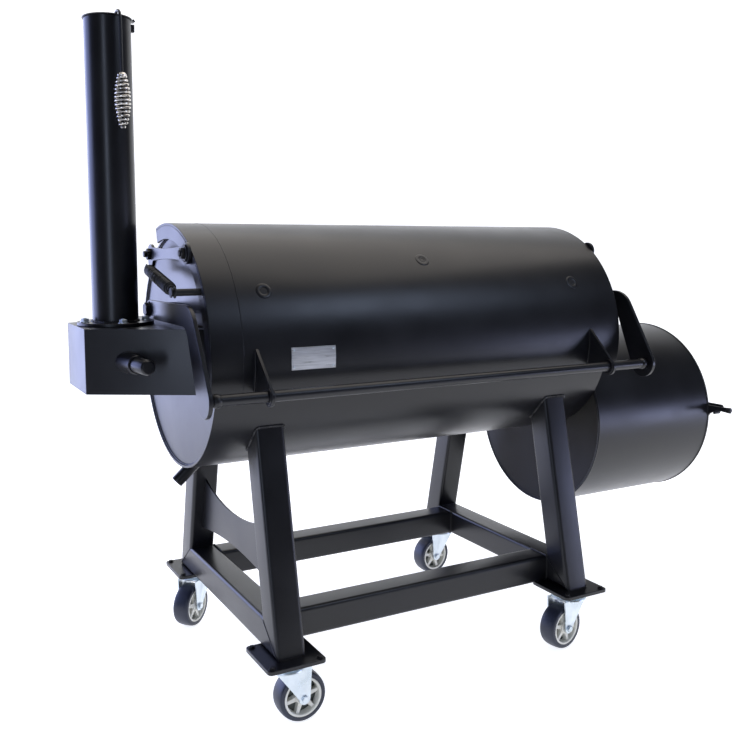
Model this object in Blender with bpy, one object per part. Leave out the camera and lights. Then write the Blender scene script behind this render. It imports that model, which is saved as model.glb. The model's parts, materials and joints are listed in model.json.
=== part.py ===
"""Offset smoker: a horizontal steel cook chamber with an end firebox, a smoke collector and stack,
a counterbalanced four-bar lid, and a splayed square-tube stand on swivel casters.

Units are metres, +Z is up. In the pit's own frame X runs along the cook chamber from the stack
end (-X) to the firebox end (+X), -Y is the cook's side and Z = 0 is the floor. One empty moves the
whole pit so that the origin is the middle of its footprint.
"""

import math

import bmesh
import bpy

# ---------------------------------------------------------------- driving dimensions
GAP = 0.0003
ROUND_STEPS = 64
PIN_STEPS = 16

CHAMBER_RADIUS = 0.3048
CHAMBER_WALL = 0.0064
CHAMBER_LENGTH = 1.212
CHAMBER_HEIGHT = 0.889
STACK_CAP_RECESS = 0.006
FIREBOX_CAP_RECESS = 0.0
CAP_THICKNESS = 0.0064

LID_RADIUS = 0.3275
LID_WALL = 0.006
LID_OVERHANG = 0.021
LID_LOW_ANGLE = -13.0
LID_HIGH_ANGLE = 106.0
LID_BAND_WIDTH = 0.040
LID_BAND_THICKNESS = 0.006
OPENING_LOW_ANGLE = -8.0
OPENING_HIGH_ANGLE = 96.0
OPENING_END_MARGIN = 0.046

BAR_RADIUS = 0.01335
BAR_BALL_RADIUS = 0.0165
BAR_REACH = 0.400
BAR_DROP = 0.068
ARM_STAND_OFF = 0.053
ARM_THICKNESS = 0.010
ARM_PIVOT_BACK = 0.022
ARM_PIVOT_RISE = 0.108
ARM_PIN_RADIUS = 0.0095
ARM_HALF_HEIGHT = 0.0235
ARM_FOOT_RADIUS = 0.0405
ARM_FOOT_BACK = 0.0135
ARM_BEND_REACH = 0.270
ARM_BEND_RADIUS = 0.070
ARM_BEND_RISE = 0.004
ARM_CROOK_REACH = 0.250
ARM_CROOK_RADIUS = 0.042
PIN_HEAD_RADIUS = 0.0175
ARM_SPACER_RADIUS = 0.016
LINK_SPACER_RADIUS = 0.010
LINK_PIN_PROUD = 0.017
PIN_HEAD_HEIGHT = 0.011
TURNING_GAP = 0.0008
SPACER_GAP = 0.0006

LINK_STAND_OFF = 0.0226
LINK_THICKNESS = 0.008
LINK_PIVOT_BACK = 0.113
LINK_PIVOT_RISE = 0.248
LINK_LOBE_RADIUS = 0.026
LINK_WAIST = 0.013
LINK_PIN_RADIUS = 0.008
LINK_SLOT_RADIUS = 0.0165
LINK_TAIL_DROP = 0.036
LINK_TAIL_BACK = 0.003
LINK_TAIL_RADIUS = 0.012
LINK_HEAD_RADIUS = 0.0150
LINK_HEAD_HEIGHT = 0.009
LINK_PEG_RADIUS = 0.0045
LID_WASHER_RADIUS = 0.0210
LID_WASHER_THICKNESS = 0.0028
LID_PIN_REACH = 0.182
LID_PIN_RISE = 0.252
SPRING_STUD_REACH = 0.262
SPRING_STUD_RISE = 0.165
SPRING_STUD_RADIUS = 0.008
SPRING_STUD_STAND_OFF = 0.082
SPRING_STUD_PROUD = 0.010
SPRING_TAIL_STAND_OFF = 0.040
SPRING_RADIUS = 0.0155
SPRING_HOOK_RADIUS = 0.003
SPRING_HOOK_LENGTH = 0.022
SPRING_HOOK_GAP = 0.002

GUSSET_SPREAD = 0.516
GUSSET_THICKNESS = 0.008
GUSSET_RING_RADIUS = 0.024
GUSSET_TOP_ANGLE = 5.7

BADGE_LEFT = -0.4285
BADGE_RIGHT = -0.311
BADGE_LOW_ANGLE = -4.15
BADGE_HIGH_ANGLE = 5.25
BADGE_THICKNESS = 0.0018
PORT_SPREAD = 0.479
PORT_SIDE_ANGLE = 30.0
PORT_TOP_ANGLE = 45.0
PORT_RADIUS = 0.011
PORT_HEIGHT = 0.005

COLLECTOR_LENGTH = 0.2588
COLLECTOR_OUTER_HALF = 0.100
COLLECTOR_INNER_HALF = 0.250
COLLECTOR_HEIGHT = 0.156
COLLECTOR_TOP = 0.075
COLLECTOR_WALL = 0.005
COLLECTOR_MOUTH_HALF = 0.205
STACK_STAND_OFF = 0.154
STACK_RADIUS = 0.056
STACK_WALL = 0.004
STACK_HEIGHT = 0.729
FLANGE_RADIUS = 0.094
FLANGE_THICKNESS = 0.008
FLANGE_BOLT_CIRCLE = 0.076
FLANGE_BOLT_RADIUS = 0.010
FLANGE_BOLT_HEIGHT = 0.009
RAIN_CAP_RADIUS = 0.0595
RAIN_CAP_THICKNESS = 0.003
RAIN_CAP_HINGE_OFFSET = 0.061
ROD_RADIUS = 0.0035
ROD_X_OFFSET = 0.012
ROD_FRONT = 0.079
GRIP_TOP_DROP = 0.140
GRIP_LENGTH = 0.126
GRIP_END_RADIUS = 0.011
GRIP_MIDDLE_RADIUS = 0.0200
PORT_PIPE_STAND_OFF = 0.168
PORT_PIPE_SWING = 9.0
PORT_COUPLING_RADIUS = 0.0225
PORT_COUPLING_LENGTH = 0.062
PORT_PLUG_RADIUS = 0.0178
PORT_PLUG_LENGTH = 0.062
SPOUT_INSET = 0.061
SPOUT_RADIUS = 0.0165
SPOUT_LENGTH = 0.075
SPOUT_WALL = 0.0035
SPOUT_SLANT = 48.0

FIREBOX_RADIUS = 0.2794
FIREBOX_WALL = 0.0064
FIREBOX_LENGTH = 0.474
FIREBOX_DROP = 0.2829
FIREBOX_JOINT = 0.0008
FIREBOX_DOORWAY_RADIUS = 0.200
FIREBOX_DOOR_RADIUS = 0.236
FIREBOX_DOOR_THICKNESS = 0.008
FIREBOX_DOOR_HINGE_REACH = 0.262
THROAT_HALF_WIDTH = 0.170
THROAT_LOW = -0.222
THROAT_HIGH = -0.100
EAR_PROUD = 0.0766
EAR_RISE = 0.030
EAR_TIP_HALF = 0.009
EAR_WAIST_HALF = 0.0062
EAR_ROOT_LOW = 0.050
EAR_BOLT_RADIUS = 0.007
DOOR_KNUCKLE_RADIUS = 0.011
DOOR_KNUCKLE_HALF = 0.014
DOOR_KNUCKLE_SPREAD = 0.075
DOOR_BARREL_HALF = 0.055
KNOB_RADIUS = 0.006
LATCH_PIN_REACH = 0.205
LATCH_TIP_PROUD = 0.022
LATCH_HALF_HEIGHT = 0.011
KEEPER_BACK = 0.056
KEEPER_RADIUS = 0.005
PIN_RADIUS = 0.005
PULL_RADIUS = 0.0056
PULL_REACH = 0.110
DAMPER_RADIUS = 0.066
DAMPER_DROP = 0.115
DAMPER_PETAL_RADIUS = 0.017
DAMPER_PETAL_CIRCLE = 0.040
HANDLE_PROUD = 0.045

TUBE = 0.0762
TUBE_WALL = 0.005
STAND_HALF_LENGTH = 0.4905
STAND_DROP = 0.713
STAND_FOOT_REACH = 0.370
STAND_TOP_REACH = 0.253
STAND_TOP_DROP = 0.170
LONG_RAIL_FRONT = 0.2804
BRACE_THICKNESS = 0.006
BRACE_END_HIGH = -0.418
BRACE_MIDDLE_HIGH = -0.460
BRACE_END_LOW = -0.573
BRACE_MIDDLE_LOW = -0.550
PAD_SIZE = 0.152
PAD_THICKNESS = 0.010
PAD_X = 0.453
PAD_Y = 0.333

CASTER_HEIGHT = 0.166
WHEEL_RADIUS = 0.0635
TYRE_WIDTH = 0.050
RIM_RADIUS = 0.0495
RIM_WIDTH = 0.046
HUB_RADIUS = 0.015
WEB_THICKNESS = 0.010
AXLE_RADIUS = 0.005
CASTER_TRAIL = 0.036
FORK_WALL = 0.0045
FORK_CLEARANCE = 0.004
SWIVEL_RADIUS = 0.036
CASTER_TURN = {"front_left": 0.0, "front_right": 189.0, "rear_left": 219.0, "rear_right": 187.0}

GRATE_HEIGHT = -0.040
GRATE_THICKNESS = 0.008
GRATE_HALF_WIDTH = 0.262
GRATE_END_CLEARANCE = 0.012
GRATE_BAR = 0.008
GRATE_HOLES_LONG = 9
GRATE_HOLES_WIDE = 3
RAIL_LEDGE = 0.020
RAIL_THICKNESS = 0.005
FIRE_GRATE_DROP = 0.120
FIRE_GRATE_THICKNESS = 0.012
FIRE_GRATE_BAR = 0.016

# ---------------------------------------------------------------- places worked out from them
HALF_CHAMBER = CHAMBER_LENGTH / 2
HALF_LID = HALF_CHAMBER + LID_OVERHANG
ARM_PLANE = HALF_CHAMBER + ARM_STAND_OFF
LINK_PLANE = HALF_CHAMBER + LINK_STAND_OFF
SPRING_STUD_PLANE = HALF_CHAMBER + SPRING_STUD_STAND_OFF
SPRING_TAIL_PLANE = HALF_CHAMBER + SPRING_TAIL_STAND_OFF
STACK_X = -(HALF_CHAMBER + STACK_STAND_OFF)
PORT_PIPE_X = -(HALF_CHAMBER + PORT_PIPE_STAND_OFF)
SPOUT_X = -(HALF_CHAMBER - SPOUT_INSET)
STACK_CAP_FACE = HALF_CHAMBER - STACK_CAP_RECESS
FIREBOX_CAP_FACE = HALF_CHAMBER - FIREBOX_CAP_RECESS
BAR = (-BAR_REACH, CHAMBER_HEIGHT - BAR_DROP)
ARM_PIVOT = (ARM_PIVOT_BACK, CHAMBER_HEIGHT + ARM_PIVOT_RISE)
LINK_PIVOT = (LINK_PIVOT_BACK, CHAMBER_HEIGHT + LINK_PIVOT_RISE)
LID_PIN = (-LID_PIN_REACH, CHAMBER_HEIGHT + LID_PIN_RISE)
LINK_TAIL = (LINK_PIVOT_BACK + LINK_TAIL_BACK, LINK_PIVOT[1] - LINK_TAIL_DROP)
COLLECTOR_INNER_X = -(STACK_CAP_FACE + GAP)
COLLECTOR_OUTER_X = COLLECTOR_INNER_X - COLLECTOR_LENGTH
COLLECTOR_TOP_Z = CHAMBER_HEIGHT + COLLECTOR_TOP
COLLECTOR_BOTTOM_Z = COLLECTOR_TOP_Z - COLLECTOR_HEIGHT
FLANGE_BASE = COLLECTOR_TOP_Z + GAP
STACK_BASE = FLANGE_BASE
STACK_TOP = STACK_BASE + STACK_HEIGHT + FLANGE_THICKNESS
RAIN_CAP_BASE = STACK_TOP + GAP
RAIN_CAP_HINGE = (STACK_X + RAIN_CAP_HINGE_OFFSET, RAIN_CAP_BASE)
FIREBOX_HEIGHT = CHAMBER_HEIGHT - FIREBOX_DROP
FIREBOX_NEAR = HALF_CHAMBER + FIREBOX_JOINT
FIREBOX_FAR = FIREBOX_NEAR + FIREBOX_LENGTH
FIREBOX_PLATE_FAR = FIREBOX_FAR + GAP + CAP_THICKNESS
DOOR_NEAR = FIREBOX_PLATE_FAR + 0.001
DOOR_FAR = DOOR_NEAR + FIREBOX_DOOR_THICKNESS
EAR_BOLT_REACH = FIREBOX_RADIUS + EAR_PROUD
EAR_BOLT = (-EAR_BOLT_REACH, FIREBOX_HEIGHT + EAR_RISE)
KEEPER_REACH = EAR_BOLT_REACH - KEEPER_BACK
LATCH_LENGTH = KEEPER_REACH + LATCH_TIP_PROUD - LATCH_PIN_REACH
LATCH_PIN = (-LATCH_PIN_REACH, FIREBOX_HEIGHT + EAR_RISE)
DAMPER_CENTRE = (0.0, FIREBOX_HEIGHT - DAMPER_DROP)
STAND_LOW = CHAMBER_HEIGHT - STAND_DROP
STAND_RAIL_TOP = STAND_LOW + TUBE
LEG_SLOPE = (STAND_FOOT_REACH - STAND_TOP_REACH) / (STAND_DROP - STAND_TOP_DROP)
LEG_LEAN = math.atan(LEG_SLOPE)
LEG_DEPTH = TUBE / math.cos(LEG_LEAN)
INNER_CORNER_REACH = STAND_FOOT_REACH - LEG_SLOPE * TUBE - LEG_DEPTH
PAD_BASE = STAND_LOW - GAP - PAD_THICKNESS
FORK_TOP = PAD_BASE - GAP
AXLE_HEIGHT = WHEEL_RADIUS
LEFT_END = COLLECTOR_OUTER_X
RIGHT_END = DOOR_FAR + HANDLE_PROUD + PULL_RADIUS * 2
FRONT_END = -(BAR_REACH - ARM_FOOT_BACK + ARM_FOOT_RADIUS)
BACK_END = PAD_Y + PAD_SIZE / 2

# ---------------------------------------------------------------- finishes
FINISHES = {
    "black_paint": ((0.016, 0.017, 0.022, 1.0), 0.34, 0.35),
    "lid_paint": ((0.018, 0.019, 0.026, 1.0), 0.30, 0.35),
    "bare_grate": ((0.09, 0.085, 0.08, 1.0), 0.55, 0.85),
    "zinc": ((0.72, 0.78, 0.82, 1.0), 0.30, 0.9),
    "badge_steel": ((0.62, 0.63, 0.64, 1.0), 0.32, 0.95),
    "grip_nickel": ((0.74, 0.73, 0.71, 1.0), 0.22, 0.95),
    "spring_black": ((0.03, 0.03, 0.033, 1.0), 0.38, 0.6),
    "rim_cream": ((0.78, 0.77, 0.72, 1.0), 0.42, 0.1),
    "tyre_navy": ((0.03, 0.04, 0.07, 1.0), 0.45, 0.0),
}


def finish(name):
    """The named finish as a Principled material, made once."""
    found = bpy.data.materials.get(name)
    if found:
        return found
    colour, roughness, metallic = FINISHES[name]
    made = bpy.data.materials.new(name)
    made.use_nodes = True
    shader = made.node_tree.nodes["Principled BSDF"]
    shader.inputs["Base Color"].default_value = colour
    shader.inputs["Roughness"].default_value = roughness
    shader.inputs["Metallic"].default_value = metallic
    return made


# ---------------------------------------------------------------- placing
def empty(name, place, parent=None, turn=0.0):
    """An empty on a joint's axis; place is in the frame of the empty with no parent."""
    made = bpy.data.objects.new(name, None)
    bpy.context.scene.collection.objects.link(made)
    made.empty_display_size = 0.05
    made.parent = parent
    if parent is None:
        made["place"] = (0.0, 0.0, 0.0)
        made.location = place
    else:
        made["place"] = place
        made.location = [a - b for a, b in zip(place, parent["place"])]
    made.rotation_euler = (0.0, 0.0, math.radians(turn))
    return made


def add(name, shape, finish_name, parent, local=False):
    """An object from a bmesh. Its points are in the pit's frame unless local says the parent's."""
    bmesh.ops.recalc_face_normals(shape, faces=shape.faces)
    if not local:
        shift = [-value for value in parent["place"]]
        bmesh.ops.translate(shape, vec=shift, verts=shape.verts)
    mesh = bpy.data.meshes.new(name)
    shape.to_mesh(mesh)
    shape.free()
    mesh.materials.append(finish(finish_name))
    mesh.shade_smooth()
    mesh.set_sharp_from_angle(angle=math.radians(32))
    made = bpy.data.objects.new(name, mesh)
    bpy.context.scene.collection.objects.link(made)
    made.parent = parent
    return made


def combine(target, shape, operation, name, local=False):
    """Cuts a helper shape out of the target, joins it on, or keeps what both hold."""
    helper = add(name, shape, "black_paint", target.parent, local)
    helper.hide_render = True
    helper.display_type = "WIRE"
    change = target.modifiers.new(name, "BOOLEAN")
    change.operation = operation
    change.solver = "EXACT"
    change.object = helper
    helper.hide_set(True)
    return target


# ---------------------------------------------------------------- shapes
def on_axis(axis, along, first, second):
    """A point from its distance along an axis and its two places across it, in X, Y, Z order."""
    if axis == "x":
        return (along, first, second)
    if axis == "y":
        return (first, along, second)
    return (first, second, along)


def prism(axis, outline, low, high):
    """A closed outline carried along an axis from low to high."""
    shape = bmesh.new()
    ends = [[shape.verts.new(on_axis(axis, at, a, b)) for a, b in outline] for at in (low, high)]
    for ring in ends:
        shape.faces.new(ring)
    for i in range(len(outline)):
        j = (i + 1) % len(outline)
        shape.faces.new((ends[0][i], ends[0][j], ends[1][j], ends[1][i]))
    return shape


def circle(centre, radius, steps=PIN_STEPS, phase=0.0):
    """Points of a regular outline round a centre."""
    turns = [phase + 2 * math.pi * i / steps for i in range(steps)]
    return [(centre[0] + radius * math.cos(t), centre[1] + radius * math.sin(t)) for t in turns]


def arc(centre, radius, start, end, steps):
    """Points along an arc; the angles are in degrees."""
    turns = [math.radians(start + (end - start) * i / steps) for i in range(steps + 1)]
    return [(centre[0] + radius * math.cos(t), centre[1] + radius * math.sin(t)) for t in turns]


def rod(axis, centre, radius, low, high, steps=PIN_STEPS):
    """A solid cylinder along an axis."""
    return prism(axis, circle(centre, radius, steps), low, high)


def hex_head(axis, centre, radius, low, high):
    """A six-sided bolt head or nut."""
    return prism(axis, circle(centre, radius, 6, math.radians(30)), low, high)


def block(x, y, z):
    """A box from its low and high values on each axis."""
    return prism("z", [(x[0], y[0]), (x[1], y[0]), (x[1], y[1]), (x[0], y[1])], z[0], z[1])


def turned(start, direction, profile, steps=ROUND_STEPS, closed_ring=False):
    """A profile of (distance along, radius) spun round a line from start in direction.

    A closed ring joins its last point to its first. Otherwise the two ends are closed flat.
    """
    shape = bmesh.new()
    length = math.sqrt(sum(value * value for value in direction))
    along = [value / length for value in direction]
    helper = (0.0, 0.0, 1.0) if abs(along[2]) < 0.9 else (0.0, 1.0, 0.0)
    side = cross(helper, along)
    size = math.sqrt(sum(value * value for value in side))
    side = [value / size for value in side]
    upper = cross(along, side)
    rings = []
    for distance, radius in profile:
        ring = []
        for i in range(steps):
            turn = 2 * math.pi * i / steps
            ring.append(
                shape.verts.new(
                    [
                        start[k] + along[k] * distance
                        + radius * (side[k] * math.cos(turn) + upper[k] * math.sin(turn))
                        for k in range(3)
                    ]
                )
            )
        rings.append(ring)
    pairs = list(zip(rings, rings[1:]))
    if closed_ring:
        pairs.append((rings[-1], rings[0]))
    else:
        shape.faces.new(rings[0])
        shape.faces.new(rings[-1])
    for near, far in pairs:
        for i in range(steps):
            j = (i + 1) % steps
            shape.faces.new((near[i], near[j], far[j], far[i]))
    return shape


def cross(a, b):
    """The cross product of two vectors."""
    return [a[1] * b[2] - a[2] * b[1], a[2] * b[0] - a[0] * b[2], a[0] * b[1] - a[1] * b[0]]


def pipe_x(height, outer, inner, low, high, steps=ROUND_STEPS):
    """A tube along X whose axis is at this height over the chamber's centre line."""
    profile = [(0.0, outer), (high - low, outer), (high - low, inner), (0.0, inner)]
    return turned((low, 0.0, height), (1.0, 0.0, 0.0), profile, steps, closed_ring=True)


def shell_angle(angle):
    """Turns an angle measured up from the cook's side into one for arc()."""
    return 180.0 - angle


def shell_point(radius, angle):
    """(y, z) on a circle round the chamber's axis, at an angle up from the cook's side."""
    turn = math.radians(angle)
    return (-radius * math.cos(turn), CHAMBER_HEIGHT + radius * math.sin(turn))


def sector(inner, outer, low, high, steps):
    """The outline of a curved strip round the chamber's axis."""
    middle = (0.0, CHAMBER_HEIGHT)
    far = arc(middle, outer, shell_angle(low), shell_angle(high), steps)
    near = arc(middle, inner, shell_angle(high), shell_angle(low), steps)
    return far + near


def grille(x, y, z, bar, holes_x, holes_y):
    """A flat plate with a grid of rectangular holes, as one closed body."""

    def marks(low, high, holes):
        pitch = (high - low - bar) / holes
        found = []
        for i in range(holes + 1):
            found += [low + pitch * i, low + pitch * i + bar]
        return found

    xs = marks(x[0], x[1], holes_x)
    ys = marks(y[0], y[1], holes_y)
    solid = {
        (i, j)
        for i in range(len(xs) - 1)
        for j in range(len(ys) - 1)
        if i % 2 == 0 or j % 2 == 0
    }
    shape = bmesh.new()
    points = {}

    def point(i, j, level):
        key = (i, j, level)
        if key not in points:
            points[key] = shape.verts.new((xs[i], ys[j], z[level]))
        return points[key]

    for i, j in solid:
        corners = ((i, j), (i + 1, j), (i + 1, j + 1), (i, j + 1))
        for level in (0, 1):
            shape.faces.new([point(a, b, level) for a, b in corners])
        beside = ((i, j - 1), (i + 1, j), (i, j + 1), (i - 1, j))
        for k, neighbour in enumerate(beside):
            if neighbour in solid:
                continue
            a, b = corners[k], corners[(k + 1) % 4]
            shape.faces.new((point(*a, 0), point(*b, 0), point(*b, 1), point(*a, 1)))
    return shape


def rod_path(path, radius, steps=8):
    """A round rod through points in one upright plane, mitred at each bend."""
    shape = bmesh.new()
    rings = []
    flat = [(0.0, 1.0, 0.0), (1.0, 0.0, 0.0)][abs(path[0][1] - path[-1][1]) > 1e-6]
    for n, centre in enumerate(path):
        m = min(max(n, 1), len(path) - 1)
        into = unit([path[m][k] - path[m - 1][k] for k in range(3)])
        m = min(n, len(path) - 2)
        out = unit([path[m + 1][k] - path[m][k] for k in range(3)])
        along = unit([into[k] + out[k] for k in range(3)])
        across = cross(along, flat)
        stretch = 1.0 / sum(along[k] * into[k] for k in range(3))
        ring = []
        for i in range(steps):
            turn = 2 * math.pi * i / steps
            ring.append(
                shape.verts.new(
                    [
                        centre[k]
                        + radius * (flat[k] * math.cos(turn) + stretch * across[k] * math.sin(turn))
                        for k in range(3)
                    ]
                )
            )
        rings.append(ring)
    shape.faces.new(rings[0])
    shape.faces.new(rings[-1])
    for near, far in zip(rings, rings[1:]):
        for i in range(steps):
            j = (i + 1) % steps
            shape.faces.new((near[i], near[j], far[j], far[i]))
    return shape


def unit(vector):
    """The vector at length one."""
    size = math.sqrt(sum(value * value for value in vector))
    return [value / size for value in vector]


# ---------------------------------------------------------------- cook chamber
def cook_chamber(pit):
    """The rolled shell, with the lid's opening cut from its upper front."""
    shape = pipe_x(
        CHAMBER_HEIGHT, CHAMBER_RADIUS, CHAMBER_RADIUS - CHAMBER_WALL, -HALF_CHAMBER, HALF_CHAMBER
    )
    shell = add("cook_chamber", shape, "black_paint", pit)
    half = HALF_CHAMBER - OPENING_END_MARGIN
    cutter = prism(
        "x",
        sector(CHAMBER_RADIUS * 0.8, CHAMBER_RADIUS * 1.1, OPENING_LOW_ANGLE, OPENING_HIGH_ANGLE, 26),
        -half,
        half,
    )
    return combine(shell, cutter, "DIFFERENCE", "cut_lid_opening")


def pivot_pins(cap, side, face):
    """The lid's two fixed pins, welded to an end cap: a spacer, a pin and a head on each."""
    arm_out = ARM_PLANE + ARM_THICKNESS + TURNING_GAP
    link_out = LINK_PLANE + LINK_THICKNESS + TURNING_GAP
    inside = face - CAP_THICKNESS / 2
    pieces = (
        ("arm_spacer", ARM_PIVOT, ARM_SPACER_RADIUS, inside, ARM_PLANE - SPACER_GAP, rod),
        ("arm_pin", ARM_PIVOT, ARM_PIN_RADIUS, inside, arm_out + PIN_HEAD_HEIGHT / 2, rod),
        ("arm_head", ARM_PIVOT, PIN_HEAD_RADIUS, arm_out, arm_out + PIN_HEAD_HEIGHT, hex_head),
        ("link_spacer", LINK_PIVOT, LINK_SPACER_RADIUS, inside, LINK_PLANE - SPACER_GAP, rod),
        ("link_pin", LINK_PIVOT, LINK_PIN_RADIUS, inside, link_out + LINK_PIN_PROUD, rod),
        ("link_head", LINK_PIVOT, LINK_HEAD_RADIUS, link_out, link_out + LINK_HEAD_HEIGHT, hex_head),
    )
    for name, centre, radius, low, high, make in pieces:
        ends = (side * low, side * high)
        shape = make("x", centre, radius, min(ends), max(ends))
        combine(cap, shape, "UNION", f"join_{name}_{'right' if side > 0 else 'left'}")


def end_cap(pit, name, side, face):
    """A flat disc that closes the chamber, with the lid's pins on its outer face."""
    ends = (side * (face - CAP_THICKNESS), side * face)
    radius = CHAMBER_RADIUS - CHAMBER_WALL - GAP
    shape = rod("x", (0.0, CHAMBER_HEIGHT), radius, min(ends), max(ends), ROUND_STEPS)
    cap = add(name, shape, "black_paint", pit)
    pivot_pins(cap, side, face)
    return cap


def end_cap_left(pit):
    """The stack end's cap, open to the smoke collector."""
    cap = end_cap(pit, "end_cap_left", -1, STACK_CAP_FACE)
    window = block(
        (-HALF_CHAMBER - 0.02, -STACK_CAP_FACE + 0.02),
        (-COLLECTOR_MOUTH_HALF, COLLECTOR_MOUTH_HALF),
        (COLLECTOR_BOTTOM_Z + 2 * COLLECTOR_WALL, COLLECTOR_TOP_Z - 2 * COLLECTOR_WALL),
    )
    return combine(cap, window, "DIFFERENCE", "cut_collector_window")


def throat(low, high):
    """The passage between firebox and chamber, as a cutter along X."""
    y = (-THROAT_HALF_WIDTH, THROAT_HALF_WIDTH)
    z = (CHAMBER_HEIGHT + THROAT_LOW, CHAMBER_HEIGHT + THROAT_HIGH)
    return block((low, high), y, z)


def end_cap_right(pit):
    """The firebox end's cap, with the throat cut through its lower half."""
    cap = end_cap(pit, "end_cap_right", 1, FIREBOX_CAP_FACE)
    return combine(
        cap, throat(HALF_CHAMBER - 0.03, HALF_CHAMBER + 0.02), "DIFFERENCE", "cut_throat_chamber"
    )


def grates(pit):
    """Two cooking grates and the ledges that carry them."""
    top = CHAMBER_HEIGHT + GRATE_HEIGHT
    inside = CHAMBER_RADIUS - CHAMBER_WALL
    low = -(STACK_CAP_FACE - CAP_THICKNESS - GRATE_END_CLEARANCE)
    high = FIREBOX_CAP_FACE - CAP_THICKNESS - GRATE_END_CLEARANCE
    middle = (low + high) / 2
    halves = (("cooking_grate_left", low, middle - 0.002), ("cooking_grate_right", middle + 0.002, high))
    for name, start, end in halves:
        shape = grille(
            (start, end),
            (-GRATE_HALF_WIDTH, GRATE_HALF_WIDTH),
            (top - GRATE_THICKNESS, top),
            GRATE_BAR,
            GRATE_HOLES_LONG,
            GRATE_HOLES_WIDE,
        )
        add(name, shape, "bare_grate", pit)
    ledge_top = top - GRATE_THICKNESS - GAP
    ledge_low = ledge_top - RAIL_THICKNESS
    facet = inside * math.cos(math.pi / ROUND_STEPS)
    reach = math.sqrt(facet**2 - (ledge_low - CHAMBER_HEIGHT) ** 2) - GAP
    for name, side in (("grate_ledge_front", -1), ("grate_ledge_rear", 1)):
        ends = sorted((side * reach, side * (GRATE_HALF_WIDTH - RAIL_LEDGE)))
        add(name, block((low, high), ends, (ledge_low, ledge_top)), "black_paint", pit)


def drain_spout(pit):
    """The slanted drain tube under the stack end."""
    turn = math.radians(SPOUT_SLANT)
    down = (-math.sin(turn), 0.0, -math.cos(turn))
    start = (SPOUT_X, 0.0, CHAMBER_HEIGHT - CHAMBER_RADIUS + SPOUT_RADIUS)
    profile = [
        (0.0, SPOUT_RADIUS),
        (SPOUT_LENGTH + SPOUT_RADIUS, SPOUT_RADIUS),
        (SPOUT_LENGTH + SPOUT_RADIUS, SPOUT_RADIUS - SPOUT_WALL),
        (0.0, SPOUT_RADIUS - SPOUT_WALL),
    ]
    spout = add("drain_spout", turned(start, down, profile, 20, True), "black_paint", pit)
    keep_out = rod(
        "x", (0.0, CHAMBER_HEIGHT), CHAMBER_RADIUS + GAP, -HALF_CHAMBER - 0.1, HALF_CHAMBER, ROUND_STEPS
    )
    return combine(spout, keep_out, "DIFFERENCE", "cut_spout_saddle")


# ---------------------------------------------------------------- lid
def lid(axis):
    """The lid's shell with its three gauge ports, its end bands, gussets and badge."""
    shape = prism(
        "x",
        sector(LID_RADIUS - LID_WALL, LID_RADIUS, LID_LOW_ANGLE, LID_HIGH_ANGLE, 34),
        -HALF_LID,
        HALF_LID,
    )
    shell = add("lid_shell", shape, "lid_paint", axis)
    ports = ((-PORT_SPREAD, PORT_SIDE_ANGLE), (0.0, PORT_TOP_ANGLE), (PORT_SPREAD, PORT_SIDE_ANGLE))
    for n, (x, angle) in enumerate(ports):
        y, z = shell_point(LID_RADIUS - LID_WALL / 2, angle)
        out = shell_point(1.0, angle)
        direction = (0.0, out[0], out[1] - CHAMBER_HEIGHT)
        profile = [(0.0, PORT_RADIUS), (LID_WALL / 2 + PORT_HEIGHT, PORT_RADIUS)]
        combine(shell, turned((x, y, z), direction, profile, PIN_STEPS), "UNION", f"join_port_{n}")
    for side, word in ((-1, "left"), (1, "right")):
        lid_end(axis, side, word)
        gusset(axis, side, word)
    badge = prism(
        "x",
        sector(
            LID_RADIUS + GAP, LID_RADIUS + GAP + BADGE_THICKNESS, BADGE_LOW_ANGLE, BADGE_HIGH_ANGLE, 6
        ),
        BADGE_LEFT,
        BADGE_RIGHT,
    )
    add("badge_plate", badge, "badge_steel", axis)


def lid_end(axis, side, word):
    """A curved band inside the lid's end, with the link's bolt; the stack end's has the spring's stud."""
    ends = sorted((side * HALF_LID, side * (HALF_LID - LID_BAND_THICKNESS)))
    outer = LID_RADIUS - LID_WALL - GAP
    outline = sector(LID_RADIUS - LID_BAND_WIDTH, outer, LID_LOW_ANGLE, LID_HIGH_ANGLE, 34)
    band = add(f"lid_end_{word}", prism("x", outline, *ends), "black_paint", axis)
    inside = HALF_LID - LID_BAND_THICKNESS / 2
    link_out = LINK_PLANE + LINK_THICKNESS + TURNING_GAP
    washer_out = link_out + LID_WASHER_THICKNESS
    nut_low = link_out + LID_WASHER_THICKNESS * 0.8
    pieces = [
        ("bolt", LID_PIN, LINK_PIN_RADIUS, inside, nut_low + LINK_HEAD_HEIGHT / 2, rod),
        ("washer", LID_PIN, LID_WASHER_RADIUS, link_out, washer_out, rod),
        ("nut", LID_PIN, LINK_HEAD_RADIUS, nut_low, nut_low + LINK_HEAD_HEIGHT, hex_head),
    ]
    if side < 0:
        stud_end = SPRING_STUD_PLANE + SPRING_STUD_PROUD
        pieces.append(("stud", SPRING_STUD_SEAT, SPRING_STUD_RADIUS, inside, stud_end, rod))
    for name, centre, radius, low, high, make in pieces:
        reach = sorted((side * low, side * high))
        combine(band, make("x", centre, radius, *reach), "UNION", f"join_lid_{name}_{word}")


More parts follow.
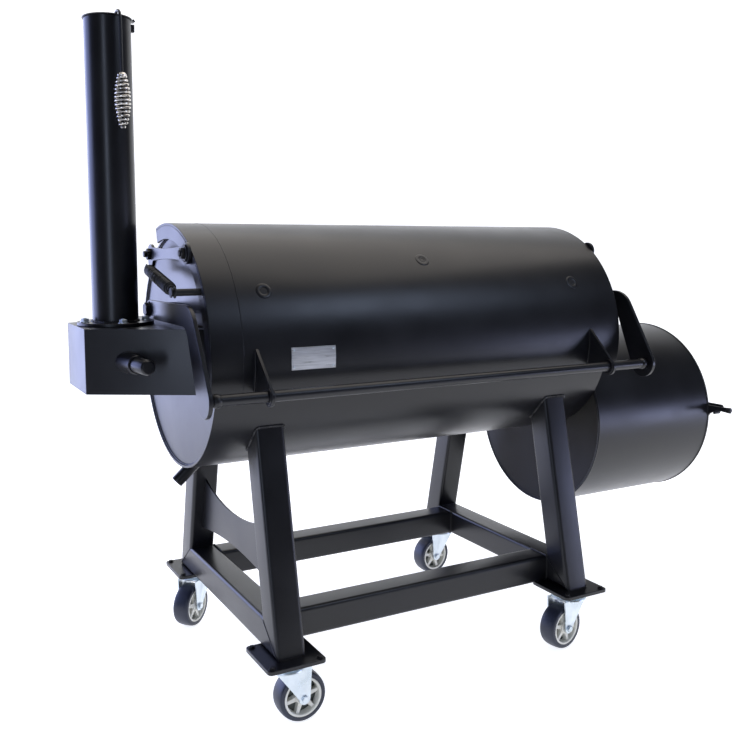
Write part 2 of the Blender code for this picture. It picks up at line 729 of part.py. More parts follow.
def gusset(axis, side, word):
    """A plate from the lid's face to a ring round the handle bar."""
    face = LID_RADIUS + GAP
    start = shell_point(face, GUSSET_TOP_ANGLE)
    ring = arc(BAR, GUSSET_RING_RADIUS, 160, 330, 10)
    lowest = shell_point(face, LID_LOW_ANGLE + 0.5)
    face_arc = [shell_point(face, LID_LOW_ANGLE + 0.5 + i * 3.0) for i in range(1, 6)]
    outline = [start] + ring + [lowest] + face_arc
    middle = side * GUSSET_SPREAD
    low = middle - GUSSET_THICKNESS / 2
    high = middle + GUSSET_THICKNESS / 2
    plate = add(f"gusset_{word}", prism("x", outline, low, high), "black_paint", axis)
    bore = rod("x", BAR, BAR_RADIUS + GAP, low - 0.01, high + 0.01, 24)
    return combine(plate, bore, "DIFFERENCE", f"cut_gusset_bore_{word}")


def touching(first, first_radius, second, second_radius):
    """The angle square to the line that touches two circles; a negative radius is touched from within."""
    along = math.atan2(second[1] - first[1], second[0] - first[0])
    lean = math.acos((first_radius - second_radius) / math.dist(first, second))
    return math.degrees(along - lean) % 360


def arm_outline():
    """The hockey-stick arm in the YZ plane: round at its pivot, bent over the box, broad at the bar."""
    bend = (-ARM_BEND_REACH, ARM_PIVOT[1] + ARM_HALF_HEIGHT + ARM_BEND_RISE - ARM_BEND_RADIUS)
    foot = (BAR[0] + ARM_FOOT_BACK, BAR[1])
    crook = (-ARM_CROOK_REACH, ARM_PIVOT[1] - ARM_HALF_HEIGHT - ARM_CROOK_RADIUS)
    front = touching(bend, ARM_BEND_RADIUS, foot, ARM_FOOT_RADIUS)
    back = touching(foot, ARM_FOOT_RADIUS, crook, -ARM_CROOK_RADIUS)
    return (
        arc(ARM_PIVOT, ARM_HALF_HEIGHT, -90, 90, 10)
        + arc(bend, ARM_BEND_RADIUS, 90, front, 6)
        + arc(foot, ARM_FOOT_RADIUS, front, back, 12)
        + arc(crook, ARM_CROOK_RADIUS, back - 180, 90, 5)
    )


def lid_arms(axis):
    """Both arms and the handle bar that joins them."""
    for side, word in ((-1, "left"), (1, "right")):
        ends = sorted((side * ARM_PLANE, side * (ARM_PLANE + ARM_THICKNESS)))
        arm = add(f"arm_{word}", prism("x", arm_outline(), *ends), "black_paint", axis)
        bore = rod(
            "x", ARM_PIVOT, ARM_PIN_RADIUS + GAP, ends[0] - 0.01, ends[1] + 0.01, PIN_STEPS
        )
        combine(arm, bore, "DIFFERENCE", f"cut_arm_bore_{word}")
    end = ARM_PLANE - GAP
    ball = end - BAR_BALL_RADIUS
    turns = [math.radians(-50 + 20 * i) for i in range(6)]
    right = [(ball + BAR_BALL_RADIUS * math.sin(t), BAR_BALL_RADIUS * math.cos(t)) for t in turns]
    right.append((end, BAR_BALL_RADIUS * 0.55))
    left = [(-x, r) for x, r in reversed(right)]
    profile = [(x + end, r) for x, r in left[:-1]]
    profile += [(end - ball + BAR_BALL_RADIUS, BAR_RADIUS), (end + ball - BAR_BALL_RADIUS, BAR_RADIUS)]
    profile += [(x + end, r) for x, r in right[1:]]
    shape = turned((-end, BAR[0], BAR[1]), (1.0, 0.0, 0.0), profile, 24)
    add("handle_bar", shape, "black_paint", axis)


def link_outline(tailed):
    """Two round lobes joined by hollow sides; a tail below the fixed lobe holds the spring."""
    run = math.dist(LINK_PIVOT, LID_PIN)
    turn = math.degrees(math.atan2(LID_PIN[1] - LINK_PIVOT[1], LID_PIN[0] - LINK_PIVOT[0]))
    along = (math.cos(math.radians(turn)), math.sin(math.radians(turn)))
    shoulder = LINK_LOBE_RADIUS * 0.74

    def hollow(side):
        found = []
        for i in range(1, 6):
            width = side * (shoulder - (shoulder - LINK_WAIST) * math.sin(math.pi * i / 6))
            at = run * (0.08 + 0.14 * i)
            y = LINK_PIVOT[0] + along[0] * at + along[1] * width
            z = LINK_PIVOT[1] + along[1] * at - along[0] * width
            found.append((y, z))
        return found

    far = arc(LID_PIN, LINK_LOBE_RADIUS, turn - 132, turn + 132, 14)
    if tailed:
        near = arc(LINK_PIVOT, LINK_LOBE_RADIUS, 0, turn - 39, 8)
        tail = arc(LINK_TAIL, LINK_TAIL_RADIUS, 180, 360, 8)
    else:
        near = arc(LINK_PIVOT, LINK_LOBE_RADIUS, turn - 312, turn - 48, 14)
        tail = []
    return near + hollow(1) + far + hollow(-1)[::-1] + tail


def link(axis, side, word):
    """The bow-tie link; its far hole is larger than the bolt, because the linkage opens there."""
    ends = sorted((side * LINK_PLANE, side * (LINK_PLANE + LINK_THICKNESS)))
    tailed = side < 0
    plate = add(f"link_{word}", prism("x", link_outline(tailed), *ends), "black_paint", axis)
    holes = (
        ("pivot", LINK_PIVOT, LINK_PIN_RADIUS + GAP),
        ("slot", LID_PIN, LINK_SLOT_RADIUS),
    )
    for name, centre, radius in holes:
        bore = rod("x", centre, radius, ends[0] - 0.01, ends[1] + 0.01, 24)
        combine(plate, bore, "DIFFERENCE", f"cut_link_{name}_{word}")
    if tailed:
        reach = (-(SPRING_TAIL_PLANE + LINK_PEG_RADIUS), -(LINK_PLANE + LINK_THICKNESS / 2))
        peg = rod("x", LINK_TAIL, LINK_PEG_RADIUS, *reach, 12)
        combine(plate, peg, "UNION", "join_link_peg")


def spring(axis):
    """The counterbalance spring at the stack end: a round body with a thin hook at each end."""
    stud = (-SPRING_STUD_PLANE, *SPRING_STUD_SEAT)
    tail = (-SPRING_TAIL_PLANE, *LINK_TAIL)
    direction = [b - a for a, b in zip(stud, tail)]
    near = SPRING_STUD_RADIUS + SPRING_HOOK_GAP
    far = math.dist(stud, tail) - LINK_PEG_RADIUS - SPRING_HOOK_GAP
    shoulder = SPRING_RADIUS * 0.8
    profile = [
        (near, SPRING_HOOK_RADIUS),
        (near + SPRING_HOOK_LENGTH, SPRING_HOOK_RADIUS),
        (near + SPRING_HOOK_LENGTH + 0.004, shoulder),
        (near + SPRING_HOOK_LENGTH + 0.012, SPRING_RADIUS),
        (far - SPRING_HOOK_LENGTH - 0.012, SPRING_RADIUS),
        (far - SPRING_HOOK_LENGTH - 0.004, shoulder),
        (far - SPRING_HOOK_LENGTH, SPRING_HOOK_RADIUS),
        (far, SPRING_HOOK_RADIUS),
    ]
    add("lid_spring", turned(stud, direction, profile, 14), "spring_black", axis)


# ---------------------------------------------------------------- smoke collector and stack
def collector_outline(inset):
    """The collector in plan: narrow at its outer end, broad at the chamber."""
    side = math.hypot(COLLECTOR_INNER_HALF - COLLECTOR_OUTER_HALF, COLLECTOR_LENGTH)
    slant = inset * side / COLLECTOR_LENGTH
    taper = (COLLECTOR_INNER_HALF - COLLECTOR_OUTER_HALF) / COLLECTOR_LENGTH
    outer_x = COLLECTOR_OUTER_X + inset
    outer_half = COLLECTOR_OUTER_HALF + taper * inset - slant
    inner_x = COLLECTOR_INNER_X + inset
    inner_half = COLLECTOR_INNER_HALF + taper * inset - slant
    return [(outer_x, -outer_half), (inner_x, -inner_half), (inner_x, inner_half), (outer_x, outer_half)]


def smoke_collector(pit):
    """A folded box between chamber and stack, open towards the chamber and under the stack."""
    box = add(
        "smoke_collector",
        prism("z", collector_outline(0.0), COLLECTOR_BOTTOM_Z, COLLECTOR_TOP_Z),
        "black_paint",
        pit,
    )
    hollow = prism(
        "z",
        collector_outline(COLLECTOR_WALL),
        COLLECTOR_BOTTOM_Z + COLLECTOR_WALL,
        COLLECTOR_TOP_Z - COLLECTOR_WALL,
    )
    combine(box, hollow, "DIFFERENCE", "cut_collector_inside")
    bore = rod(
        "z",
        (STACK_X, 0.0),
        STACK_RADIUS - STACK_WALL,
        COLLECTOR_TOP_Z - 3 * COLLECTOR_WALL,
        COLLECTOR_TOP_Z + 0.02,
        36,
    )
    return combine(box, bore, "DIFFERENCE", "cut_stack_bore")


def stack(pit):
    """The flange with its four bolts, and the pipe welded into it."""
    profile = [
        (0.0, FLANGE_RADIUS),
        (FLANGE_THICKNESS, FLANGE_RADIUS),
        (FLANGE_THICKNESS, STACK_RADIUS + GAP),
        (0.0, STACK_RADIUS + GAP),
    ]
    base = (STACK_X, 0.0, FLANGE_BASE)
    flange = add("stack_flange", turned(base, (0, 0, 1), profile, 36, True), "black_paint", pit)
    for n in range(4):
        turn = math.pi / 2 * n
        centre = (
            STACK_X + FLANGE_BOLT_CIRCLE * math.cos(turn),
            FLANGE_BOLT_CIRCLE * math.sin(turn),
        )
        low = FLANGE_BASE + FLANGE_THICKNESS / 2
        high = FLANGE_BASE + FLANGE_THICKNESS + FLANGE_BOLT_HEIGHT
        head = hex_head("z", centre, FLANGE_BOLT_RADIUS, low, high)
        combine(flange, head, "UNION", f"join_flange_bolt_{n}")
    height = STACK_TOP - STACK_BASE
    profile = [
        (0.0, STACK_RADIUS),
        (height, STACK_RADIUS),
        (height, STACK_RADIUS - STACK_WALL),
        (0.0, STACK_RADIUS - STACK_WALL),
    ]
    pipe = add(
        "stack_pipe", turned((STACK_X, 0.0, STACK_BASE), (0, 0, 1), profile, 36, True), "black_paint", pit
    )
    lug = block(
        (STACK_X + STACK_RADIUS - STACK_WALL / 2, RAIN_CAP_HINGE[0] + 0.004),
        (-0.006, 0.006),
        (STACK_TOP - 0.026, STACK_TOP - 0.008),
    )
    return combine(pipe, lug, "UNION", "join_hinge_lug")


def rain_cap(axis):
    """The hinged cap with its bent rod, and the coil grip on the rod's end."""
    centre = (STACK_X, 0.0, RAIN_CAP_BASE)
    profile = [(0.0, RAIN_CAP_RADIUS), (RAIN_CAP_THICKNESS, RAIN_CAP_RADIUS)]
    cap = add("rain_cap", turned(centre, (0, 0, 1), profile, 36), "black_paint", axis)
    tab = block(
        (STACK_X + RAIN_CAP_RADIUS * 0.9, RAIN_CAP_HINGE[0] + 0.006),
        (-0.012, 0.012),
        (RAIN_CAP_BASE, RAIN_CAP_BASE + RAIN_CAP_THICKNESS),
    )
    combine(cap, tab, "UNION", "join_cap_tab")
    x = STACK_X + ROD_X_OFFSET
    top = RAIN_CAP_BASE + RAIN_CAP_THICKNESS
    path = [
        (x, -0.030, top - 0.001),
        (x, -0.044, top + 0.006),
        (x, -0.062, top + 0.006),
        (x, -ROD_FRONT + 0.004, top - 0.003),
        (x, -ROD_FRONT, top - 0.020),
        (x, -ROD_FRONT, top - GRIP_TOP_DROP - GRIP_LENGTH - 0.004),
    ]
    combine(cap, rod_path(path, ROD_RADIUS), "UNION", "join_cap_rod")
    grip_low = top - GRIP_TOP_DROP - GRIP_LENGTH
    steps = 10
    outer = []
    for i in range(steps + 1):
        part = i / steps
        swell = math.sin(math.pi * part) ** 0.8 if 0 < i < steps else 0.0
        radius = GRIP_END_RADIUS + (GRIP_MIDDLE_RADIUS - GRIP_END_RADIUS) * swell
        outer.append((GRIP_LENGTH * part, radius))
    bore = ROD_RADIUS + GAP
    profile = outer + [(GRIP_LENGTH, bore), (0.0, bore)]
    shape = turned((x, -ROD_FRONT, grip_low), (0, 0, 1), profile, 18, True)
    add("cap_grip", shape, "grip_nickel", axis)


def collector_port(pit):
    """A pipe coupling with its plug, standing out of the collector's slanted front."""
    swing = math.radians(PORT_PIPE_SWING)
    out = (math.sin(swing), -math.cos(swing), 0.0)
    part = (PORT_PIPE_X - COLLECTOR_OUTER_X) / COLLECTOR_LENGTH
    face = -(COLLECTOR_OUTER_HALF + (COLLECTOR_INNER_HALF - COLLECTOR_OUTER_HALF) * part)
    sunk = 0.030
    height = (COLLECTOR_TOP_Z + COLLECTOR_BOTTOM_Z) / 2
    start = (PORT_PIPE_X - out[0] * sunk, face - out[1] * sunk, height)
    profile = [
        (0.0, PORT_COUPLING_RADIUS),
        (sunk + PORT_COUPLING_LENGTH, PORT_COUPLING_RADIUS),
        (sunk + PORT_COUPLING_LENGTH, PORT_PLUG_RADIUS),
        (sunk + PORT_COUPLING_LENGTH + PORT_PLUG_LENGTH - 0.003, PORT_PLUG_RADIUS),
        (sunk + PORT_COUPLING_LENGTH + PORT_PLUG_LENGTH, PORT_PLUG_RADIUS - 0.003),
    ]
    port = add("collector_port", turned(start, out, profile, 24), "black_paint", pit)
    keep_out = prism(
        "z", collector_outline(-GAP), COLLECTOR_BOTTOM_Z - 0.01, COLLECTOR_TOP_Z + 0.01
    )
    return combine(port, keep_out, "DIFFERENCE", "cut_port_seat")


# ---------------------------------------------------------------- firebox
def firebox(pit):
    """The shell, its two end plates and the fire grate."""
    shape = pipe_x(
        FIREBOX_HEIGHT, FIREBOX_RADIUS, FIREBOX_RADIUS - FIREBOX_WALL, FIREBOX_NEAR, FIREBOX_FAR
    )
    add("firebox_shell", shape, "black_paint", pit)
    inside = FIREBOX_RADIUS - FIREBOX_WALL - GAP
    middle = (0.0, FIREBOX_HEIGHT)
    near = add(
        "firebox_inner_end",
        rod("x", middle, inside, FIREBOX_NEAR, FIREBOX_NEAR + CAP_THICKNESS, ROUND_STEPS),
        "black_paint",
        pit,
    )
    passage = throat(FIREBOX_NEAR - 0.02, FIREBOX_NEAR + 0.03)
    combine(near, passage, "DIFFERENCE", "cut_throat_firebox")
    firebox_outer_end(pit)
    floor = FIREBOX_HEIGHT - FIRE_GRATE_DROP
    facet = inside * math.cos(math.pi / ROUND_STEPS)
    half = math.sqrt(facet**2 - FIRE_GRATE_DROP**2) - 0.001
    shape = grille(
        (FIREBOX_NEAR + CAP_THICKNESS + 0.02, FIREBOX_FAR - 0.02),
        (-half, half),
        (floor, floor + FIRE_GRATE_THICKNESS),
        FIRE_GRATE_BAR,
        7,
        2,
    )
    add("fire_grate", shape, "bare_grate", pit)


def firebox_outer_end(pit):
    """The doorway plate, with the latch's ear at the cook's side and the hinge's ears behind."""
    low = FIREBOX_FAR + GAP
    high = FIREBOX_PLATE_FAR
    plate = add(
        "firebox_outer_end",
        rod("x", (0.0, FIREBOX_HEIGHT), FIREBOX_RADIUS, low, high, ROUND_STEPS),
        "black_paint",
        pit,
    )
    y, z = EAR_BOLT
    root = -FIREBOX_RADIUS * 0.90
    waist = EAR_WAIST_HALF
    ear = [
        (root, z - EAR_ROOT_LOW),
        (root, z + waist),
        (y + 0.033, z + waist),
        (y + 0.017, z + waist + 0.001),
        (y - 0.007, z + EAR_TIP_HALF),
        (y - 0.007, z - EAR_TIP_HALF),
        (y + 0.020, z - waist - 0.001),
        (y + 0.037, z - waist),
        (y + 0.050, z - waist - 0.003),
        (y + 0.062, z - waist - 0.010),
        (y + 0.070, z - waist - 0.015),
        (y + 0.078, z - waist - 0.026),
    ]
    combine(plate, prism("x", ear, low, high), "UNION", "join_ear")
    doorway = rod(
        "x", (0.0, FIREBOX_HEIGHT), FIREBOX_DOORWAY_RADIUS, low - 0.01, high + 0.01, ROUND_STEPS
    )
    combine(plate, doorway, "DIFFERENCE", "cut_doorway")
    bolt = rod("x", EAR_BOLT, EAR_BOLT_RADIUS, low - 0.004, high + 0.006, 12)
    combine(plate, bolt, "UNION", "join_ear_bolt")
    seat = LATCH_PIN[1] - LATCH_HALF_HEIGHT - KEEPER_RADIUS - GAP
    keeper = rod("x", (-KEEPER_REACH, seat), KEEPER_RADIUS, low + 0.002, DOOR_FAR + 0.014, 12)
    combine(plate, keeper, "UNION", "join_keeper")
    for n, offset in enumerate((-DOOR_KNUCKLE_SPREAD, DOOR_KNUCKLE_SPREAD)):
        base = FIREBOX_HEIGHT + offset
        ends = (base - DOOR_KNUCKLE_HALF, base + DOOR_KNUCKLE_HALF)
        knuckle = rod("z", DOOR_HINGE, DOOR_KNUCKLE_RADIUS, *ends, PIN_STEPS)
        foot_y = (FIREBOX_DOOR_HINGE_REACH - 0.008, FIREBOX_DOOR_HINGE_REACH + 0.008)
        foot = block((low, DOOR_HINGE[0]), foot_y, ends)
        combine(plate, foot, "UNION", f"join_hinge_foot_{n}")
        combine(plate, knuckle, "UNION", f"join_hinge_knuckle_{n}")


def firebox_door(axis, latch_axis, damper_axis):
    """The round door with a pull handle, its latch bar and its turning air damper."""
    middle = (0.0, FIREBOX_HEIGHT)
    door = add(
        "firebox_door",
        rod("x", middle, FIREBOX_DOOR_RADIUS, DOOR_NEAR, DOOR_FAR, ROUND_STEPS),
        "black_paint",
        axis,
    )
    ends = (FIREBOX_HEIGHT - DOOR_BARREL_HALF, FIREBOX_HEIGHT + DOOR_BARREL_HALF)
    reach = (FIREBOX_DOOR_RADIUS * 0.9, FIREBOX_DOOR_HINGE_REACH)
    combine(door, block((DOOR_NEAR, DOOR_FAR), reach, ends), "UNION", "join_door_strap")
    barrel = rod("z", DOOR_HINGE, DOOR_KNUCKLE_RADIUS, *ends, PIN_STEPS)
    combine(door, barrel, "UNION", "join_door_barrel")
    for n in range(3):
        hole = rod("x", damper_hole(n), DAMPER_PETAL_RADIUS, DOOR_NEAR - 0.01, DOOR_FAR + 0.01, 20)
        combine(door, hole, "DIFFERENCE", f"cut_door_vent_{n}")
    x = DOOR_FAR + HANDLE_PROUD + PULL_RADIUS
    base = DOOR_FAR - 0.002
    high = FIREBOX_HEIGHT + 0.110
    low = FIREBOX_HEIGHT - 0.020
    path = [
        (base, -PULL_REACH, high),
        (x - 0.008, -PULL_REACH, high),
        (x, -PULL_REACH, high - 0.008),
        (x, -PULL_REACH, low + 0.008),
        (x - 0.008, -PULL_REACH, low),
        (base, -PULL_REACH, low),
    ]
    combine(door, rod_path(path, PULL_RADIUS), "UNION", "join_door_pull")
    for name, centre in (("latch", LATCH_PIN), ("damper", DAMPER_CENTRE)):
        pin = rod("x", centre, PIN_RADIUS, base, DOOR_FAR + 0.0100, 12)
        combine(door, pin, "UNION", f"join_{name}_pin")
    latch_bar(latch_axis)
    air_damper(damper_axis)


def damper_hole(n, turn=0.0):
    """The centre of one of the three vents, turned about the damper's pin in degrees."""
    angle = math.radians(90 + 120 * n + turn)
    return (
        DAMPER_CENTRE[0] + DAMPER_PETAL_CIRCLE * math.cos(angle),
        DAMPER_CENTRE[1] + DAMPER_PETAL_CIRCLE * math.sin(angle),
    )


def latch_bar(axis):
    """A bar that hangs on the door's pin and rests its free end on the keeper."""
    low = DOOR_FAR + 0.001
    high = low + 0.006
    y, z = LATCH_PIN
    half = LATCH_HALF_HEIGHT
    outline = arc(LATCH_PIN, half, -90, 90, 8)
    outline += [(y - LATCH_LENGTH + 0.006, z + half), (y - LATCH_LENGTH, z + half - 0.006)]
    outline += [(y - LATCH_LENGTH, z - half + 0.006), (y - LATCH_LENGTH + 0.006, z - half)]
    bar = add("firebox_latch", prism("x", outline, low, high), "black_paint", axis)
    bore = rod("x", LATCH_PIN, PIN_RADIUS + GAP, low - 0.01, high + 0.01, 12)
    combine(bar, bore, "DIFFERENCE", "cut_latch_bore")
    knob = rod("x", (y - LATCH_LENGTH / 4, z), KNOB_RADIUS, low + 0.002, high + 0.024, 12)
    return combine(bar, knob, "UNION", "join_latch_knob")


def air_damper(axis):
    """The turning disc over the door's vents; at rest its own holes face the door's."""
    low = DOOR_FAR + 0.001
    high = low + 0.004
    disc = add(
        "air_damper", rod("x", DAMPER_CENTRE, DAMPER_RADIUS, low, high, 36), "black_paint", axis
    )
    for n in range(3):
        hole = rod("x", damper_hole(n), DAMPER_PETAL_RADIUS, low - 0.01, high + 0.01, 20)
        combine(disc, hole, "DIFFERENCE", f"cut_damper_vent_{n}")
    bore = rod("x", DAMPER_CENTRE, PIN_RADIUS + GAP, low - 0.01, high + 0.01, 12)
    combine(disc, bore, "DIFFERENCE", "cut_damper_bore")
    y, z = damper_hole(0, 60.0)
    knob = rod("x", (y, z), KNOB_RADIUS, low + 0.002, high + 0.018, 12)
    return combine(disc, knob, "UNION", "join_damper_knob")


# ---------------------------------------------------------------- stand
def leg_line(height, inset=0.0):
    """How far a leg's outer face, or one inset from it, stands from the centre plane."""
    return STAND_FOOT_REACH - LEG_SLOPE * (height - STAND_LOW) - inset / math.cos(LEG_LEAN)


def leg(pit, name, side_x, side_y):
    """A splayed square tube: mitred on the side rail below, coped to the chamber above."""
    x_out = side_x * STAND_HALF_LENGTH
    x_in = side_x * (STAND_HALF_LENGTH - TUBE)
    top = CHAMBER_HEIGHT - 0.100
    outer = [(leg_line(STAND_LOW), STAND_LOW), (leg_line(top), top)]
    inner = [(leg_line(top, TUBE), top), (INNER_CORNER_REACH, STAND_RAIL_TOP)]
    outline = [(side_y * y, z) for y, z in outer + inner]
    x_ends = sorted((x_out, x_in))
    tube = add(name, prism("x", outline, *x_ends), "black_paint", pit)
    low = STAND_LOW - 0.1
    high = top + 0.1
    hollow = [
        (leg_line(low, TUBE_WALL), low),
        (leg_line(high, TUBE_WALL), high),
        (leg_line(high, TUBE - TUBE_WALL), high),
        (leg_line(low, TUBE - TUBE_WALL), low),
    ]
    outline = [(side_y * y, z) for y, z in hollow]
    inside = prism("x", outline, x_ends[0] + TUBE_WALL, x_ends[1] - TUBE_WALL)
    combine(tube, inside, "DIFFERENCE", f"cut_inside_{name}")
    saddle = rod(
        "x", (0.0, CHAMBER_HEIGHT), CHAMBER_RADIUS + GAP, -HALF_CHAMBER, HALF_CHAMBER, ROUND_STEPS
    )
    return combine(tube, saddle, "DIFFERENCE", f"cut_saddle_{name}")


def side_rail(pit, name, side_x):
    """The rail across one end of the stand, mitred to both of its legs."""
    slack = 2 * GAP
    outline = [
        (-(STAND_FOOT_REACH - slack), STAND_LOW),
        (STAND_FOOT_REACH - slack, STAND_LOW),
        (INNER_CORNER_REACH - slack, STAND_RAIL_TOP),
        (-(INNER_CORNER_REACH - slack), STAND_RAIL_TOP),
    ]
    x_ends = sorted((side_x * STAND_HALF_LENGTH, side_x * (STAND_HALF_LENGTH - TUBE)))
    rail = add(name, prism("x", outline, *x_ends), "black_paint", pit)
    inside = block(
        (x_ends[0] + TUBE_WALL, x_ends[1] - TUBE_WALL),
        (-STAND_FOOT_REACH - 0.05, STAND_FOOT_REACH + 0.05),
        (STAND_LOW + TUBE_WALL, STAND_RAIL_TOP - TUBE_WALL),
    )
    return combine(rail, inside, "DIFFERENCE", f"cut_inside_{name}")


def long_rail(pit, name, side_y):
    """A rail along the stand, between the two side rails."""
    half = STAND_HALF_LENGTH - TUBE - GAP
    y_ends = sorted((side_y * LONG_RAIL_FRONT, side_y * (LONG_RAIL_FRONT - TUBE)))
    rail = add(name, block((-half, half), y_ends, (STAND_LOW, STAND_RAIL_TOP)), "black_paint", pit)
    inside = block(
        (-half - 0.05, half + 0.05),
        (y_ends[0] + TUBE_WALL, y_ends[1] - TUBE_WALL),
        (STAND_LOW + TUBE_WALL, STAND_RAIL_TOP - TUBE_WALL),
    )
    return combine(rail, inside, "DIFFERENCE", f"cut_inside_{name}")


def brace_plate(pit):
    """The arched plate between the legs of the stack end, hollow above and below."""
    middle = -(STAND_HALF_LENGTH - TUBE / 2)
    outline = []
    for high_edge in (True, False):
        end = BRACE_END_HIGH if high_edge else BRACE_END_LOW
        centre = BRACE_MIDDLE_HIGH if high_edge else BRACE_MIDDLE_LOW
        steps = 14
        edge = []
        for i in range(steps + 1):
            part = 2 * i / steps - 1
            height = CHAMBER_HEIGHT + centre + (end - centre) * part**2
            reach = leg_line(height, TUBE) - 2 * GAP
            edge.append((part * reach, height))
        outline += edge if high_edge else edge[::-1]
    shape = prism("x", outline, middle - BRACE_THICKNESS / 2, middle + BRACE_THICKNESS / 2)
    return add("brace_plate", shape, "black_paint", pit)


def stand(pit):
    """Four legs, four rails, the brace and the four caster pads."""
    sides = ((-1, "left"), (1, "right"))
    for side_x, word_x in sides:
        side_rail(pit, f"side_rail_{word_x}", side_x)
        for side_y, word_y in ((-1, "front"), (1, "rear")):
            leg(pit, f"leg_{word_y}_{word_x}", side_x, side_y)
            x, y = side_x * PAD_X, side_y * PAD_Y
            half = PAD_SIZE / 2
            cut = 0.008
            outline = [
                (x - half + cut, y - half),
                (x + half - cut, y - half),
                (x + half, y - half + cut),
                (x + half, y + half - cut),
                (x + half - cut, y + half),
                (x - half + cut, y + half),
                (x - half, y + half - cut),
                (x - half, y - half + cut),
            ]
            shape = prism("z", outline, PAD_BASE, PAD_BASE + PAD_THICKNESS)
            pad = add(f"caster_pad_{word_y}_{word_x}", shape, "black_paint", pit)
            for n, (a, b) in enumerate(((-1, -1), (1, -1), (1, 1), (-1, 1))):
                spot = (x + a * (half - 0.014), y + b * (half - 0.014))
                hole = rod("z", spot, 0.005, PAD_BASE - 0.01, PAD_BASE + 0.03, 10)
                combine(pad, hole, "DIFFERENCE", f"cut_pad_hole_{word_y}_{word_x}_{n}")
    long_rail(pit, "long_rail_front", -1)
    long_rail(pit, "long_rail_rear", 1)
    brace_plate(pit)


# ---------------------------------------------------------------- casters
def fork(axis, word):
    """A swivel fork: raceway, crown, two tapered cheeks and the axle bolt, in its own frame."""
    outer = TYRE_WIDTH / 2 + FORK_CLEARANCE + FORK_WALL
    inner = TYRE_WIDTH / 2 + FORK_CLEARANCE
    crown_top = WHEEL_RADIUS * 2 + 0.014
    crown_low = crown_top - 0.008
    foot = AXLE_HEIGHT - 0.018
    u_shape = [
        (-outer, foot), (-inner, foot), (-inner, crown_low), (inner, crown_low),
        (inner, foot), (outer, foot), (outer, crown_top), (-outer, crown_top),
    ]
    body = add(
        f"caster_fork_{word}", prism("x", u_shape, -0.05, 0.09), "zinc", axis, local=True
    )
    tip = arc((CASTER_TRAIL, AXLE_HEIGHT), 0.017, 200, 350, 8)
    side_view = [(-0.034, crown_top + 0.001), (-0.034, crown_low - 0.006)] + tip
    side_view += [(0.050, crown_low - 0.006), (0.050, crown_top + 0.001)]
    combine(body, prism("y", side_view, -0.05, 0.05), "INTERSECT", f"trim_fork_{word}", local=True)
    profile = [
        (crown_top - 0.004, SWIVEL_RADIUS * 0.92),
        (crown_top + 0.004, SWIVEL_RADIUS),
        (crown_top + 0.010, SWIVEL_RADIUS),
        (crown_top + 0.012, SWIVEL_RADIUS * 0.80),
        (FORK_TOP, SWIVEL_RADIUS * 0.80),
    ]
    race = turned((0, 0, 0), (0, 0, 1), profile, 24)
    combine(body, race, "UNION", f"join_race_{word}", local=True)
    bolt = rod("y", (CASTER_TRAIL, AXLE_HEIGHT), AXLE_RADIUS, -outer - 0.003, outer + 0.003, 12)
    combine(body, bolt, "UNION", f"join_axle_{word}", local=True)
    for n, ends in enumerate(((-outer - 0.007, -outer + 0.001), (outer - 0.001, outer + 0.007))):
        head = hex_head("y", (CASTER_TRAIL, AXLE_HEIGHT), 0.0095, *ends)
        combine(body, head, "UNION", f"join_axle_head_{n}_{word}", local=True)


def wheel(axis, word):
    """The rim and its tyre, spun round the axle, in the wheel's own frame."""
    half = RIM_WIDTH / 2
    bore = AXLE_RADIUS + GAP
    web = WEB_THICKNESS / 2
    rim = [
        (-half - 0.001, HUB_RADIUS), (-web, HUB_RADIUS + 0.004), (-web, RIM_RADIUS - 0.009),
        (-half, RIM_RADIUS - 0.005), (-half, RIM_RADIUS), (half, RIM_RADIUS),
        (half, RIM_RADIUS - 0.005), (web, RIM_RADIUS - 0.009), (web, HUB_RADIUS + 0.004),
        (half + 0.001, HUB_RADIUS), (half + 0.001, bore), (-half - 0.001, bore),
    ]
    along = (0.0, 1.0, 0.0)
    shape = turned((0, 0, 0), along, rim, 20, True)
    add(f"caster_rim_{word}", shape, "rim_cream", axis, local=True)
    half = TYRE_WIDTH / 2
    tread = [
        (-half, WHEEL_RADIUS - 0.009), (-half * 0.84, WHEEL_RADIUS - 0.003),
        (-half * 0.4, WHEEL_RADIUS), (half * 0.4, WHEEL_RADIUS),
        (half * 0.84, WHEEL_RADIUS - 0.003), (half, WHEEL_RADIUS - 0.009),
    ]
    tread += [(half, RIM_RADIUS + GAP), (-half, RIM_RADIUS + GAP)]
    shape = turned((0, 0, 0), along, tread, 28, True)
    add(f"caster_tyre_{word}", shape, "tyre_navy", axis, local=True)


def casters(pit):
    """A swivel caster under each pad, each turned as it happened to stop."""
    for side_x, word_x in ((-1, "left"), (1, "right")):
        for side_y, word_y in ((-1, "front"), (1, "rear")):
            word = f"{word_y}_{word_x}"
            place = (side_x * PAD_X, side_y * PAD_Y, 0.0)
            swivel = empty(f"swivel_axis_{word}", place, pit, CASTER_TURN[word])
            fork(swivel, word)
            hub = bpy.data.objects.new(f"wheel_axis_{word}", None)
            bpy.context.scene.collection.objects.link(hub)
            hub.parent = swivel
            hub.location = (CASTER_TRAIL, 0.0, AXLE_HEIGHT)
            wheel(hub, word)


# ---------------------------------------------------------------- the whole pit
def clear_scene():
    """Removes whatever the scene holds."""
    for found in list(bpy.data.objects):
        bpy.data.objects.remove(found, do_unlink=True)


SPRING_STUD_ANGLE = math.degrees(math.atan2(SPRING_STUD_RISE, SPRING_STUD_REACH))
SPRING_STUD_SEAT = shell_point(LID_RADIUS - LID_BAND_WIDTH / 2, SPRING_STUD_ANGLE)
DOOR_HINGE = (DOOR_FAR + 0.004, FIREBOX_DOOR_HINGE_REACH)


